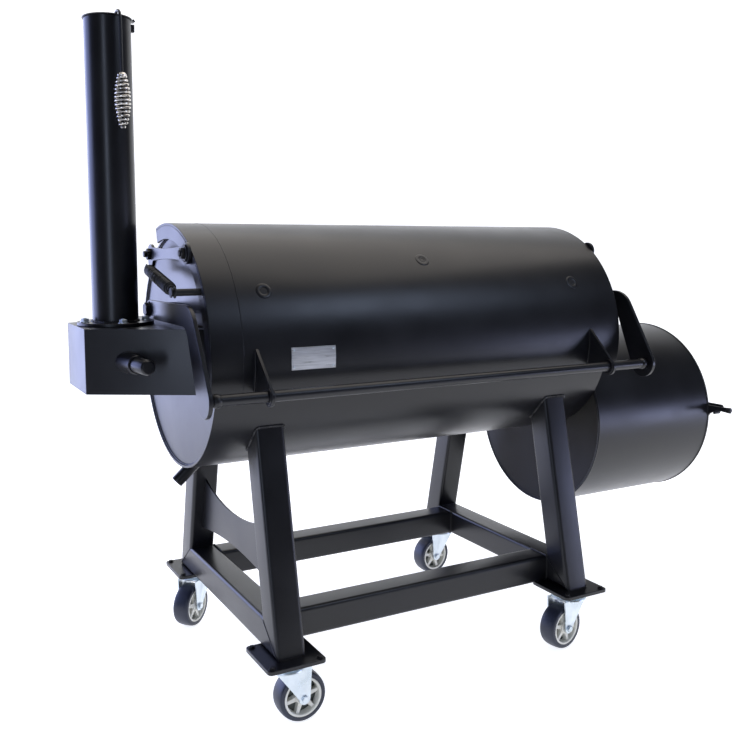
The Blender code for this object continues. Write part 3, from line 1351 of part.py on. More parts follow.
def main():
    clear_scene()
    centre = (-(LEFT_END + RIGHT_END) / 2, -(FRONT_END + BACK_END) / 2, 0.0)
    pit = empty("pit", centre)
    cook_chamber(pit)
    end_cap_left(pit)
    end_cap_right(pit)
    grates(pit)
    drain_spout(pit)
    smoke_collector(pit)
    collector_port(pit)
    stack(pit)
    firebox(pit)
    stand(pit)
    arm_axis = empty("arm_axis", (0.0, *ARM_PIVOT), pit)
    lid_arms(arm_axis)
    lid_axis = empty("lid_axis", (0.0, *BAR), arm_axis)
    lid(lid_axis)
    for side, word in ((-1, "left"), (1, "right")):
        link(empty(f"link_axis_{word}", (0.0, *LINK_PIVOT), pit), side, word)
    spring(empty("spring_axis", (0.0, *SPRING_STUD_SEAT), lid_axis))
    rain_cap(empty("rain_cap_axis", (RAIN_CAP_HINGE[0], 0.0, RAIN_CAP_HINGE[1]), pit))
    door_axis = empty("firebox_door_axis", (*DOOR_HINGE, FIREBOX_HEIGHT), pit)
    latch_axis = empty("latch_axis", (DOOR_FAR, *LATCH_PIN), door_axis)
    damper_axis = empty("damper_axis", (DOOR_FAR, *DAMPER_CENTRE), door_axis)
    firebox_door(door_axis, latch_axis, damper_axis)
    casters(pit)


main()
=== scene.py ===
"""How the offset smoker looks: smooth shells, rounded tube, coil springs, spoked casters and powder
coat, laid over the solid model.

Lengths are metres. The pit's own frame has X along the barrel from stack to firebox, -Y towards the
cook and Z = 0 on the floor; SHIFT moves it onto the solid model. Angles round the barrel are counted
in degrees from the cook's side upwards.
"""

import json
import math

import bmesh
import bpy
import numpy as np
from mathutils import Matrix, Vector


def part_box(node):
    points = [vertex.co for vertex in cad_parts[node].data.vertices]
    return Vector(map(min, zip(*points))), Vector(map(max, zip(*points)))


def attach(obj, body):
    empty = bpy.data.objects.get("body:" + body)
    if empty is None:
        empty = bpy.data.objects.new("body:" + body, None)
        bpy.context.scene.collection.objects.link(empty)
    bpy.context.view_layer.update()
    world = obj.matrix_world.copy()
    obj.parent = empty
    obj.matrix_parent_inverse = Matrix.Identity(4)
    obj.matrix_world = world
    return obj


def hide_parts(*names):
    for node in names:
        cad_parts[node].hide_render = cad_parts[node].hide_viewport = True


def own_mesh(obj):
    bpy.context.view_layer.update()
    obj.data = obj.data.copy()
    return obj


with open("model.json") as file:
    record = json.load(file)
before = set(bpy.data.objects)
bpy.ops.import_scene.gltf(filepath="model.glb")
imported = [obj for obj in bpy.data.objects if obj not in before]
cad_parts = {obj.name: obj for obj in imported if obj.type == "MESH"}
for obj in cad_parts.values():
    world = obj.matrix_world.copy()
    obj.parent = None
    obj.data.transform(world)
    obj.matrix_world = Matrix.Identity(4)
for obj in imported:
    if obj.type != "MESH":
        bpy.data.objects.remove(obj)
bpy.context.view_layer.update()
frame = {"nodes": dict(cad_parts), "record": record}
barrel_low, barrel_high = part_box("cook_chamber")
BARREL = (np.array(barrel_low) + np.array(barrel_high)) / 2
SHIFT = np.array((BARREL[0], BARREL[1], 0.0))
AXIS = BARREL[2]
FIRE_AXIS = AXIS - 0.2829
ARM_PIVOT = np.array((0.022, AXIS + 0.108))
LINK_PIVOT = np.array((0.113, AXIS + 0.248))
LINK_BOLT = np.array((-0.182, AXIS + 0.252))
LINK_TAIL = np.array((0.116, AXIS + 0.212))
BAR = np.array((-0.400, AXIS - 0.068))
STUD = np.array((-0.2602, AXIS + 0.16387))
STACK_X = -0.760
BOX_TOP = AXIS + 0.075
BOX_BASE = AXIS - 0.081
STACK_FOOT = BOX_TOP + 0.0003
STACK_TALL = 0.737
CHAMBER_RADIUS = 0.3048
LID_OUTSIDE = 0.3275
LID_INSIDE = 0.3215
FIREBOX_RADIUS = 0.2794
FIREBOX_NEAR = 0.6068
FIREBOX_FAR = 1.0808
ARM_INNER = 0.659
ARM_OUTER = 0.669
ARM_HALF_HEIGHT = 0.0235
LINK_INNER = 0.6286
LINK_OUTER = 0.6366
LINK_LOBE = 0.026
GUSSET_X = 0.516
COUPLING_X = -0.774
RAIL_LOW = AXIS - 0.713
TUBE = 0.0762
PAD_BASE = RAIL_LOW - 0.0103
FOOT_REACH = 0.370
STAND_HALF = 0.4905
LEG_SEAT = 0.3040
PAD_X = 0.453
PAD_Y = 0.333
AXLE_HEIGHT = 0.0635
CASTER_TRAIL = 0.036
SLOPE = (FOOT_REACH - 0.253) / (0.713 - 0.170)
LATCH_SEAT = FIRE_AXIS + 0.030 - 0.0163


# ------------------------------------------------------------------ finishes
def nodes_of(name):
    """A fresh node material, its tree and its surface shader."""
    made = bpy.data.materials.new(name)
    made.use_nodes = True
    return made, made.node_tree, made.node_tree.nodes["Principled BSDF"]


def noise(tree, scale, detail=2.0, stretch=(1.0, 1.0, 1.0)):
    """Cloudy noise fixed to the object; stretch squeezes it along an axis for a brushed grain."""
    place = tree.nodes.new("ShaderNodeTexCoord")
    turn = tree.nodes.new("ShaderNodeMapping")
    turn.inputs["Scale"].default_value = stretch
    made = tree.nodes.new("ShaderNodeTexNoise")
    made.inputs["Scale"].default_value = scale
    made.inputs["Detail"].default_value = detail
    tree.links.new(place.outputs["Object"], turn.inputs["Vector"])
    tree.links.new(turn.outputs["Vector"], made.inputs["Vector"])
    return made.outputs["Fac"]


def spread(tree, source, low, high, start=0.3, end=0.7):
    """Maps a value from start..end onto low..high."""
    made = tree.nodes.new("ShaderNodeMapRange")
    made.inputs["From Min"].default_value = start
    made.inputs["From Max"].default_value = end
    made.inputs["To Min"].default_value = low
    made.inputs["To Max"].default_value = high
    tree.links.new(source, made.inputs["Value"])
    return made.outputs["Result"]


def blended(tree, share, first, second):
    """A colour between two colours."""
    made = tree.nodes.new("ShaderNodeMix")
    made.data_type = "RGBA"
    made.inputs["A"].default_value = (*first, 1.0)
    made.inputs["B"].default_value = (*second, 1.0)
    tree.links.new(share, made.inputs["Factor"])
    return made.outputs["Result"]


def roughened(tree, shader, source, strength, distance):
    """A bump from a height source."""
    bump = tree.nodes.new("ShaderNodeBump")
    bump.inputs["Strength"].default_value = strength
    bump.inputs["Distance"].default_value = distance
    tree.links.new(source, bump.inputs["Height"])
    tree.links.new(bump.outputs["Normal"], shader.inputs["Normal"])


def finish(name, dark, light, rough, metallic=0.0, grain=400.0, peel=0.08, cloud=6.0, stretch=(1, 1, 1)):
    """A finish that drifts between two colours and two roughnesses, with a fine grain in its surface."""
    made, tree, shader = nodes_of(name)
    drift = noise(tree, cloud, 4.0, stretch)
    colour = blended(tree, spread(tree, drift, 0.0, 1.0), dark, light)
    tree.links.new(colour, shader.inputs["Base Color"])
    tree.links.new(spread(tree, drift, rough[0], rough[1]), shader.inputs["Roughness"])
    shader.inputs["Metallic"].default_value = metallic
    roughened(tree, shader, noise(tree, grain, 1.0, stretch), peel, 0.0006)
    return made


POWDER = finish("satin_powder_coat", (0.0035, 0.0036, 0.0055), (0.0065, 0.0068, 0.0095), (0.28, 0.36))
POWDER.node_tree.nodes["Principled BSDF"].inputs["IOR"].default_value = 1.46
BOLT_BLACK = finish("black_oxide", (0.008, 0.008, 0.009), (0.022, 0.022, 0.024), (0.34, 0.5), 0.4, 700, 0.15)
ZINC = finish("zinc_plate", (0.56, 0.63, 0.68), (0.78, 0.84, 0.88), (0.24, 0.40), 0.85, 260, 0.10, 22.0)
NICKEL = finish("nickel_wire", (0.50, 0.47, 0.43), (0.74, 0.71, 0.66), (0.18, 0.32), 0.95, 300, 0.05, 30.0)
BRUSHED = finish(
    "brushed_plate", (0.58, 0.59, 0.61), (0.84, 0.85, 0.87),
    (0.26, 0.44), 0.95, 40, 0.20, 16.0, (1.0, 8.0, 26.0),
)
RIM = finish(
    "cream_wheel_centre", (0.66, 0.65, 0.58), (0.84, 0.83, 0.77),
    (0.38, 0.50), 0.0, 500, 0.10,
)
TREAD = finish(
    "blue_black_tread", (0.010, 0.014, 0.030), (0.018, 0.024, 0.046),
    (0.34, 0.46), 0.0, 300, 0.12,
)
# Painted shade: the wheel web's dark grey-green stands for the shade in the recesses between the spokes of
# the cream centre.
PAINTED_SHADE_WEB = finish(
    "grey_green_painted_shade_web", (0.050, 0.058, 0.052), (0.085, 0.095, 0.086),
    (0.42, 0.55), 0.0, 420, 0.12,
)
GRATE = finish(
    "seasoned_steel", (0.030, 0.026, 0.022), (0.085, 0.078, 0.070),
    (0.5, 0.7), 0.7, 240, 0.30, 14.0,
)
SOOT = finish("sooty_steel", (0.010, 0.009, 0.008), (0.030, 0.026, 0.022), (0.55, 0.8), 0.2, 200, 0.35)


# ------------------------------------------------------------------ shapes: (points, faces) pairs
def joined(*shapes):
    """Several shapes as one."""
    points, faces, start = [], [], 0
    for some_points, some_faces in shapes:
        points.append(np.asarray(some_points, float).reshape(-1, 3))
        faces += [[start + i for i in face] for face in some_faces]
        start += len(points[-1])
    return np.concatenate(points), faces


def grid(points, wrap_rows=False, wrap_columns=False):
    """Quads over rows and columns of points."""
    rows, columns = points.shape[:2]
    index = np.arange(rows * columns).reshape(rows, columns)
    if wrap_rows:
        index = np.vstack((index, index[:1]))
    if wrap_columns:
        index = np.hstack((index, index[:, :1]))
    quads = np.stack((index[:-1, :-1], index[:-1, 1:], index[1:, 1:], index[1:, :-1]), -1)
    return points.reshape(-1, 3), quads.reshape(-1, 4).tolist()


def across(direction):
    """Two unit vectors square to a direction and to each other."""
    along = np.asarray(direction, float) / np.linalg.norm(direction)
    helper = np.array((0.0, 0.0, 1.0)) if abs(along[2]) < 0.9 else np.array((0.0, 1.0, 0.0))
    side = np.cross(helper, along)
    side /= np.linalg.norm(side)
    return along, side, np.cross(along, side)


def lathe(start, direction, profile, steps=64, ring=False):
    """A profile of (distance, radius) spun round a line; each point is
    start + direction * distance + radius * (side * cos(turn) + upper * sin(turn))."""
    along, side, upper = across(direction)
    turn = np.linspace(0, 2 * np.pi, steps, endpoint=False)
    circle = np.cos(turn)[:, None] * side + np.sin(turn)[:, None] * upper
    profile = np.asarray(profile, float)
    points = np.asarray(start) + profile[:, :1, None] * along + profile[:, 1:, None] * circle
    made, faces = grid(points, wrap_rows=ring, wrap_columns=True)
    if not ring:
        last = (len(profile) - 1) * steps
        faces += [list(range(steps)), list(range(last, last + steps))]
    return made, faces


def rod_x(centre, radius, low, high, steps=40, soft=0.001):
    """A round rod along X with softened ends."""
    span = high - low
    profile = [(0, radius - soft), (soft, radius), (span - soft, radius), (span, radius - soft)]
    return lathe((low, *centre), (1, 0, 0), profile, steps)


def hexagon(start, direction, radius, height):
    """A bolt head: six sides, with the corners of its outer face cut back."""
    profile = [(0, radius), (height * 0.8, radius), (height, radius * 0.86)]
    return lathe(start, direction, profile, 6)


def arc(centre, radius, start, end, steps):
    """Points along an arc in degrees."""
    turn = np.radians(np.linspace(start, end, steps + 1))
    return np.asarray(centre) + radius * np.stack((np.cos(turn), np.sin(turn)), -1)


def softened(corners, radius, steps=5):
    """An outline whose corners are rounded: each corner becomes the curve
    (1-s)^2 * before + 2s(1-s) * corner + s^2 * after."""
    corners = np.asarray(corners, float)
    found = []
    share = np.linspace(0, 1, steps + 1)[:, None]
    for n, corner in enumerate(corners):
        back = corners[n - 1] - corner
        on = corners[(n + 1) % len(corners)] - corner
        before = corner + back * min(0.45, radius / np.linalg.norm(back))
        after = corner + on * min(0.45, radius / np.linalg.norm(on))
        found.append((1 - share) ** 2 * before + 2 * share * (1 - share) * corner + share**2 * after)
    return np.concatenate(found)


def slab(axis, outline, low, high):
    """An outline carried along X, Y or Z from low to high."""
    outline = np.asarray(outline, float)
    order = {"x": (2, 0, 1), "y": (0, 2, 1), "z": (0, 1, 2)}[axis]
    ends = []
    for at in (low, high):
        stacked = np.column_stack((outline, np.full(len(outline), at)))
        ends.append(stacked[:, order])
    count = len(outline)
    made, faces = grid(np.stack(ends), wrap_columns=True)
    faces += [list(range(count)), list(range(count, 2 * count))]
    return made, faces


def box(x, y, z):
    """A block from its low and high values."""
    return slab("z", [(x[0], y[0]), (x[1], y[0]), (x[1], y[1]), (x[0], y[1])], z[0], z[1])


def tube(path, radius, steps=12, loop=False):
    """A round tube along a path; radius is one number or one per point. Its section is carried
    along by removing from its side vector whatever points along the path."""
    path = np.asarray(path, float)
    radius = np.broadcast_to(radius, len(path))
    if loop:
        ahead = np.roll(path, -1, 0) - np.roll(path, 1, 0)
    else:
        ahead = np.gradient(path, axis=0)
    ahead /= np.linalg.norm(ahead, axis=1)[:, None]
    side = across(ahead[0])[1]
    turn = np.linspace(0, 2 * np.pi, steps, endpoint=False)
    rings = []
    for centre, along, size in zip(path, ahead, radius):
        side = side - (side @ along) * along
        side /= np.linalg.norm(side)
        upper = np.cross(along, side)
        rings.append(centre + size * (np.cos(turn)[:, None] * side + np.sin(turn)[:, None] * upper))
    made, faces = grid(np.stack(rings), wrap_rows=loop, wrap_columns=True)
    if not loop:
        last = (len(path) - 1) * steps
        faces += [list(range(steps)), list(range(last, last + steps))]
    return made, faces


def weld(path, radius=0.003, loop=False):
    """A weld bead: a tube whose radius swells and shrinks by a sixth at every 5 mm."""
    path = np.asarray(path, float)
    if loop:
        path = np.concatenate((path, path[:1]))
    gone = np.concatenate(([0], np.cumsum(np.linalg.norm(np.diff(path, axis=0), axis=1))))
    at = np.linspace(0, gone[-1], max(8, int(gone[-1] / 0.0016)))
    if loop:
        at = at[:-1]
    dense = np.stack([np.interp(at, gone, path[:, k]) for k in range(3)], -1)
    ripple = radius * (1 + np.sin(at * 2 * np.pi / 0.005) / 6)
    return tube(dense, ripple, 8, loop)


def coil(start, end, radius, wire, turns, steps=18, wire_steps=8):
    """A helix of wire from start to end; radius is a function of the share of the way along."""
    along, side, upper = across(np.asarray(end) - start)
    share = np.linspace(0, 1, int(turns * steps) + 1)
    turn = share * turns * 2 * np.pi
    size = np.array([radius(s) for s in share])[:, None]
    run = np.linalg.norm(np.asarray(end) - start)
    path = start + share[:, None] * run * along
    path = path + size * (np.cos(turn)[:, None] * side + np.sin(turn)[:, None] * upper)
    return tube(path, wire, wire_steps)


def cells(radii, xs, degrees, keep, height):
    """A curved wall made of the kept cells of a grid of lengths and angles, closed at every edge."""
    xs, degrees = np.asarray(xs), np.asarray(degrees)
    turn = np.radians(degrees)
    rows, columns = len(xs), len(degrees)
    levels = []
    for radius in radii:
        ring = np.stack((-radius * np.cos(turn), height + radius * np.sin(turn)), -1)
        level = np.empty((rows, columns, 3))
        level[:, :, 0] = xs[:, None]
        level[:, :, 1:] = ring[None]
        levels.append(level)
    points = np.stack(levels).reshape(-1, 3)
    closed = abs(degrees[-1] - degrees[0] - 360) < 1e-6
    wrap = columns - 1 if closed else columns

    def at(level, i, j):
        return level * rows * columns + i * columns + (j % wrap if closed else j)

    kept = {(i, j) for i in range(rows - 1) for j in range(columns - 1) if keep(i, j)}
    faces = []
    for i, j in kept:
        ring = ((i, j), (i + 1, j), (i + 1, j + 1), (i, j + 1))
        faces.append([at(1, a, b) for a, b in ring])
        faces.append([at(0, a, b) for a, b in reversed(ring)])
        beside = ((i, j - 1), (i + 1, j), (i, j + 1), (i - 1, j))
        for k, (a, b) in enumerate(beside):
            near = (a, b % wrap) if closed else (a, b)
            if near in kept:
                continue
            p, q = ring[k], ring[(k + 1) % 4]
            faces.append([at(0, *p), at(0, *q), at(1, *q), at(1, *p)])
    return points, faces


def everywhere(i, j):
    """Keeps every cell of a curved wall."""
    return True


def round_barrel(radius, angle):
    """(y, z) at an angle round the barrel."""
    turn = np.radians(angle)
    return np.stack((-radius * np.cos(turn), AXIS + radius * np.sin(turn)), -1)


def outwards(angle):
    """The direction straight out of the barrel at an angle."""
    turn = math.radians(angle)
    return np.array((0.0, -math.cos(turn), math.sin(turn)))


def weld_ring(x, radius, centre, bead, steps=160):
    """A weld bead round a circle that faces along X."""
    turn = np.linspace(0, 2 * np.pi, steps, endpoint=False)
    ring = np.stack((np.full(steps, x), radius * np.cos(turn), centre + radius * np.sin(turn)), -1)
    return weld(ring, bead, True)


def band_outline(inner, outer, low, high, steps=72):
    """A curved strip round the barrel, as an outline in Y and Z."""
    angles = np.linspace(low, high, steps)
    return np.concatenate((round_barrel(outer, angles), round_barrel(inner, angles[::-1])))


def show(name, shape, material, body, stands_for=(), bevel=0.0, turn=None):
    """Makes the shape an object, moves it onto the solid model and lets it ride on a body."""
    points, faces = shape
    if turn is not None:
        points = points @ turn[0].T + turn[1]
    mesh = bpy.data.meshes.new(name)
    mesh.from_pydata((points + SHIFT).tolist(), [], faces)
    mesh.update()
    made = bpy.data.objects.new(name, mesh)
    bpy.context.scene.collection.objects.link(made)
    made.data.materials.append(material)
    turn_faces_outwards(mesh)
    mesh.shade_smooth()
    mesh.set_sharp_from_angle(angle=math.radians(33))
    if bevel:
        change = made.modifiers.new("soft_edges", "BEVEL")
        change.width = bevel
        change.segments = 2
        change.limit_method = "ANGLE"
        change.angle_limit = math.radians(40)
        change.harden_normals = True
    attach(made, body)
    if stands_for:
        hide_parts(*stands_for)
    return made


def turn_faces_outwards(mesh):
    """Points every face of a closed mesh away from its inside."""
    shape = bmesh.new()
    shape.from_mesh(mesh)
    bmesh.ops.recalc_face_normals(shape, faces=shape.faces)
    shape.to_mesh(mesh)
    shape.free()


def mirrored(shape):
    """The same shape at the other end of the barrel."""
    points, faces = shape
    return points * (-1, 1, 1), [face[::-1] for face in faces]


# ------------------------------------------------------------------ barrel
def barrel():
    """Rolled shell with the lid's opening, the weld round the end cap at the stack end, and the drain spout.
    """
    xs = [-0.606, -0.56, -0.3, 0.0, 0.3, 0.56, 0.606]
    angles = np.arange(-8.0, 352.1, 2.0)

    def solid(i, j):
        return i in (0, 5) or j >= 52

    shape = cells((0.2984, CHAMBER_RADIUS), xs, angles, solid, AXIS)
    show("barrel_shell", shape, POWDER, "pit", ["cook_chamber"], 0.001)
    show("end_cap_weld", weld_ring(-0.6004, 0.2968, AXIS, 0.0026), POWDER, "pit")
    down = (-math.sin(math.radians(48)), 0.0, -math.cos(math.radians(48)))
    profile = [(0.0, 0.0165), (0.0905, 0.0165), (0.0915, 0.0155), (0.0915, 0.013), (0.0, 0.013)]
    start = (-0.545, 0.0, AXIS - CHAMBER_RADIUS + 0.0165)
    show("drain_pipe", lathe(start, down, profile, 40, True), POWDER, "pit", ["drain_spout"])


def fixed_pins():
    """Spacers, pins and heads that carry the arms and the links, at both ends."""
    for side, word in ((-1, "left"), (1, "right")):
        face = 0.600 if side < 0 else 0.606
        shapes = [
            rod_x(ARM_PIVOT, 0.0163, face - 0.002, 0.6586),
            rod_x(ARM_PIVOT, 0.0205, 0.6694, 0.6716),
            hexagon((0.6714, *ARM_PIVOT), (1, 0, 0), 0.0168, 0.0098),
            rod_x(LINK_PIVOT, 0.0103, face - 0.002, 0.6282),
            rod_x(LINK_PIVOT, 0.0083, 0.6360, 0.6548),
            hexagon((0.6374, *LINK_PIVOT), (1, 0, 0), 0.0150, 0.0092),
        ]
        shape = joined(*shapes)
        shape = mirrored(shape) if side < 0 else shape
        show(f"pivot_pins_{word}", shape, BOLT_BLACK, "pit", bevel=0.0006)


# ------------------------------------------------------------------ lid
def lid():
    """Lid shell with its seam, gauge ports, end bands, gussets and badge."""
    xs = np.linspace(-0.627, 0.627, 9)
    angles = np.linspace(-13.0, 106.0, 96)
    shape = cells((LID_INSIDE, LID_OUTSIDE), xs, angles, everywhere, AXIS)
    show("lid_skin", shape, POWDER, "lid", ["lid_shell"], 0.0012)
    line = np.linspace(-12.5, 105.5, 80)
    seam = np.column_stack((np.full(80, -0.548), round_barrel(0.3268, line)))
    show("lid_seam", tube(seam, 0.0013, 8), POWDER, "lid")
    ports, plugs = [], []
    for n, (x, angle) in enumerate(((-0.479, 30.0), (0.0, 45.0), (0.479, 30.0))):
        out = outwards(angle)
        start = np.array((x, *round_barrel(0.3260, angle)))
        ring = [(0, 0.0205), (0.0018, 0.0198), (0.0026, 0.0185)]
        ring += [(0.0026, 0.0108), (0.0020, 0.0098), (0, 0.0096)]
        ports.append(lathe(start, out, ring, 40, True))
        depth = 0.0008 if n == 0 else 0.0021
        plug = [(0, 0.0097), (depth, 0.0097), (depth, 0.0052), (0.0004, 0.0048), (0.0002, 0.001)]
        plugs.append(lathe(start, out, plug, 24))
    show("gauge_ports", joined(*ports), POWDER, "lid")
    show("gauge_port_plugs", joined(*plugs), BOLT_BLACK, "lid")
    for side, word in ((-1, "left"), (1, "right")):
        lid_end(side, word)
        gusset(side, word)
    badge()


def lid_end(side, word):
    """End band, the link's bolt with washer and nut, and at the stack end the spring's stud."""
    ends = sorted((side * 0.6269, side * 0.6211))
    band = slab("x", band_outline(0.2872, 0.3213, -12.8, 105.8), *ends)
    show(f"lid_band_{word}", band, POWDER, "lid", [f"lid_end_{word}"], 0.001)
    shapes = [
        rod_x(LINK_BOLT, 0.0208, 0.6372, 0.6398),
        hexagon((0.6396, *LINK_BOLT), (1, 0, 0), 0.0148, 0.0090),
        rod_x(LINK_BOLT, 0.0078, 0.6240, 0.6520),
    ]
    if side < 0:
        shapes += [rod_x(STUD, 0.0083, 0.6240, 0.6975), rod_x(STUD, 0.0118, 0.6945, 0.6980)]
    shape = joined(*shapes)
    shape = mirrored(shape) if side < 0 else shape
    show(f"lid_bolt_and_stud_{word}", shape, BOLT_BLACK, "lid", bevel=0.0005)
    at = np.linspace(-12.0, 105.0, 60)
    bead = np.column_stack((np.full(60, side * 0.6266), round_barrel(0.3216, at)))
    show(f"lid_end_weld_{word}", weld(bead, 0.0014), POWDER, "lid")


def gusset(side, word):
    """The plate that ties the lid's face to the ring round the handle bar."""
    face = 0.3278
    down = round_barrel(face, np.linspace(-12.5, 5.7, 14))
    ring = arc(BAR, 0.024, 160, 330, 26)
    outline = np.concatenate((down[::-1][:1], ring, down[:-1]))
    middle = side * GUSSET_X
    plate = slab("x", outline, middle - 0.004, middle + 0.004)
    ring = [(0, 0.0137), (0, 0.0205), (0.0124, 0.0205), (0.0124, 0.0137)]
    collar = lathe((middle - 0.0062, *BAR), (1, 0, 0), ring, 40, True)
    plate = joined(plate, collar)
    show(f"bar_gusset_{word}", plate, POWDER, "lid", [f"gusset_{word}"], 0.0012)
    beads = []
    seam = round_barrel(face, np.linspace(-12.0, 5.0, 14))
    for at in (middle - 0.0045, middle + 0.0045):
        beads.append(weld(np.column_stack((np.full(14, at), seam)), 0.0022))
    show(f"gusset_weld_{word}", joined(*beads), POWDER, "lid")


def badge():
    """A thin steel plate with a raised border, two plain bars and a screw in each corner."""
    angles = np.linspace(-4.15, 5.25, 24)
    plate = cells((0.3277, 0.3296), np.linspace(-0.4285, -0.311, 6), angles, everywhere, AXIS)
    rows = np.linspace(-3.55, 4.65, 12)
    loop = [np.column_stack((np.full(12, -0.4245), round_barrel(0.3297, rows)))]
    along = np.linspace(-0.4245, -0.315, 12)
    loop.append(np.column_stack((along, np.tile(round_barrel(0.3297, 4.65), (12, 1)))))
    loop.append(np.column_stack((np.full(12, -0.315), round_barrel(0.3297, rows[::-1]))))
    loop.append(np.column_stack((along[::-1], np.tile(round_barrel(0.3297, -3.55), (12, 1)))))
    border = tube(np.concatenate(loop), 0.0006, 6)
    bars = []
    for low, high, left, right in ((1.1, 2.6, -0.412, -0.328), (-2.2, -0.9, -0.402, -0.338)):
        spot = np.linspace(low, high, 5)
        bars.append(cells((0.3294, 0.3300), (left, right), spot, everywhere, AXIS))
    show("maker_plate", joined(plate, border, *bars), BRUSHED, "lid", ["badge_plate"], 0.0003)
    screws = []
    for x in (-0.4215, -0.318):
        for angle in (-3.0, 4.1):
            start = (x, *round_barrel(0.3294, angle))
            screw = [(0, 0.0026), (0.0008, 0.0025), (0.0014, 0.0015)]
            screws.append(lathe(start, outwards(angle), screw, 16))
    show("maker_plate_screws", joined(*screws), ZINC, "lid")


def touching(first, first_radius, second, second_radius):
    """The angle, in degrees, of the side where one straight edge touches two rounds; a hollow round has
    a negative radius. It is the bearing from first to second, less the angle whose cosine is the
    difference of the radii over the distance."""
    gap = np.subtract(second, first)
    bearing = math.atan2(gap[1], gap[0])
    return math.degrees(bearing - math.acos((first_radius - second_radius) / np.linalg.norm(gap))) % 360


def arm_outline():
    """Round at the pivot, straight over the collector, bent down, and a round foot at the bar."""
    y, z = ARM_PIVOT
    half = ARM_HALF_HEIGHT
    bend = (-0.270, z + half + 0.004 - 0.070)
    foot = (BAR[0] + 0.0135, BAR[1])
    crook = (-0.250, z - half - 0.042)
    front = touching(bend, 0.070, foot, 0.0405)
    back = touching(foot, 0.0405, crook, -0.042)
    rounds = [
        arc((y, z), half, -90, 90, 24), arc(bend, 0.070, 90, front, 20),
        arc(foot, 0.0405, front, back, 40), arc(crook, 0.042, back - 180, 90, 14),
    ]
    return np.concatenate(rounds)


def arms():
    """Both arms and the handle bar between them."""
    for side, word in ((-1, "left"), (1, "right")):
        ends = sorted((side * ARM_INNER, side * ARM_OUTER))
        shape = slab("x", arm_outline(), *ends)
        show(f"lid_arm_{word}", shape, POWDER, "lid_arms", [f"arm_{word}"], 0.0016)
    ball = [0.0165 * math.cos(math.radians(a)) for a in (-50, -30, -10, 10, 30, 50)]
    reach = [0.0165 * math.sin(math.radians(a)) for a in (-50, -30, -10, 10, 30, 50)]
    centre = 0.6597 - 0.0165
    right = [(centre + x, r) for x, r in zip(reach, ball)] + [(0.6588, 0.0105)]
    profile = [(-x, r) for x, r in reversed(right)] + right
    bar = rod_x(BAR, 0.01335, -centre, centre, 48)
    ends = ball_ends(profile)
    show("pull_bar", joined(bar, ends), POWDER, "lid_arms", ["handle_bar"])


def ball_ends(profile):
    """The two ball ends of the bar, each spun by itself."""
    half = len(profile) // 2
    return joined(*(lathe((0.0, *BAR), (1, 0, 0), part, 48) for part in (profile[:half], profile[half:])))


def link_outline(tailed):
    """Two lobes with hollow sides; a tailed link's fixed lobe runs down to the spring's hook. The half
    width between the lobes is 19 mm less 6 mm times the sine of half a turn along the link."""
    run = np.linalg.norm(LINK_BOLT - LINK_PIVOT)
    along = (LINK_BOLT - LINK_PIVOT) / run
    square = np.array((-along[1], along[0]))
    turn = math.degrees(math.atan2(along[1], along[0]))
    share = np.linspace(0.08, 0.92, 26)[:, None]
    width = 0.0192 - 0.0062 * np.sin(np.pi * share)
    lower = LINK_PIVOT + run * share * along + square * width
    upper = LINK_PIVOT + run * share * along - square * width
    far = arc(LINK_BOLT, LINK_LOBE, turn - 132, turn + 132, 36)
    if not tailed:
        near = arc(LINK_PIVOT, LINK_LOBE, turn - 312, turn - 48, 36)
        return np.concatenate((near, upper, far, lower[::-1]))
    near = arc(LINK_PIVOT, LINK_LOBE, 0, 140, 20)
    tail = arc(LINK_TAIL, 0.012, 180, 360, 16)
    return np.concatenate((near, upper, far, lower[::-1], tail))


def links():
    """Bow-tie links at both ends; the one at the stack end has a tail and a peg for the spring."""
    for side, word in ((-1, "left"), (1, "right")):
        ends = sorted((side * LINK_INNER, side * LINK_OUTER))
        shape = slab("x", link_outline(side < 0), *ends)
        if side < 0:
            shape = joined(shape, mirrored(rod_x(LINK_TAIL, 0.0048, 0.6330, 0.6515, 24)))
        show(f"lid_link_{word}", shape, POWDER, f"link_{word}", [f"link_{word}"], 0.0012)


def spring():
    """The close-wound counterbalance spring: a coil that tapers in at both ends, and two hooks."""
    stud = np.array((-0.688, *STUD))
    tail = np.array((-0.646, *LINK_TAIL))
    along = (tail - stud) / np.linalg.norm(tail - stud)
    start, end = stud + along * 0.040, tail - along * 0.034

    def swell(share):
        return 0.0132 * min(1.0, 0.55 + 9 * share, 0.55 + 9 * (1 - share))

    up = across(along)[2]
    hooks = []
    for centre, sense, size, reach in ((stud, 1, 0.0108, 0.040), (tail, -1, 0.0075, 0.034)):
        turn = np.radians(np.linspace(-150, 150, 22))[:, None]
        loop = centre + size * (-sense * np.cos(turn) * along + np.sin(turn) * up)
        leg = [
            centre + sense * along * reach * 0.7 + up * size * 0.3,
            centre + sense * along * (reach + 0.004) + up * 0.004,
        ]
        hooks.append(tube(np.concatenate((loop, leg)), 0.0026, 10))
    shape = joined(coil(start, end, swell, 0.0027, 38, 20, 8), *hooks)
    made = show("lid_spring_coil", shape, BOLT_BLACK, "lid_spring", ["lid_spring"])
    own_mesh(made)


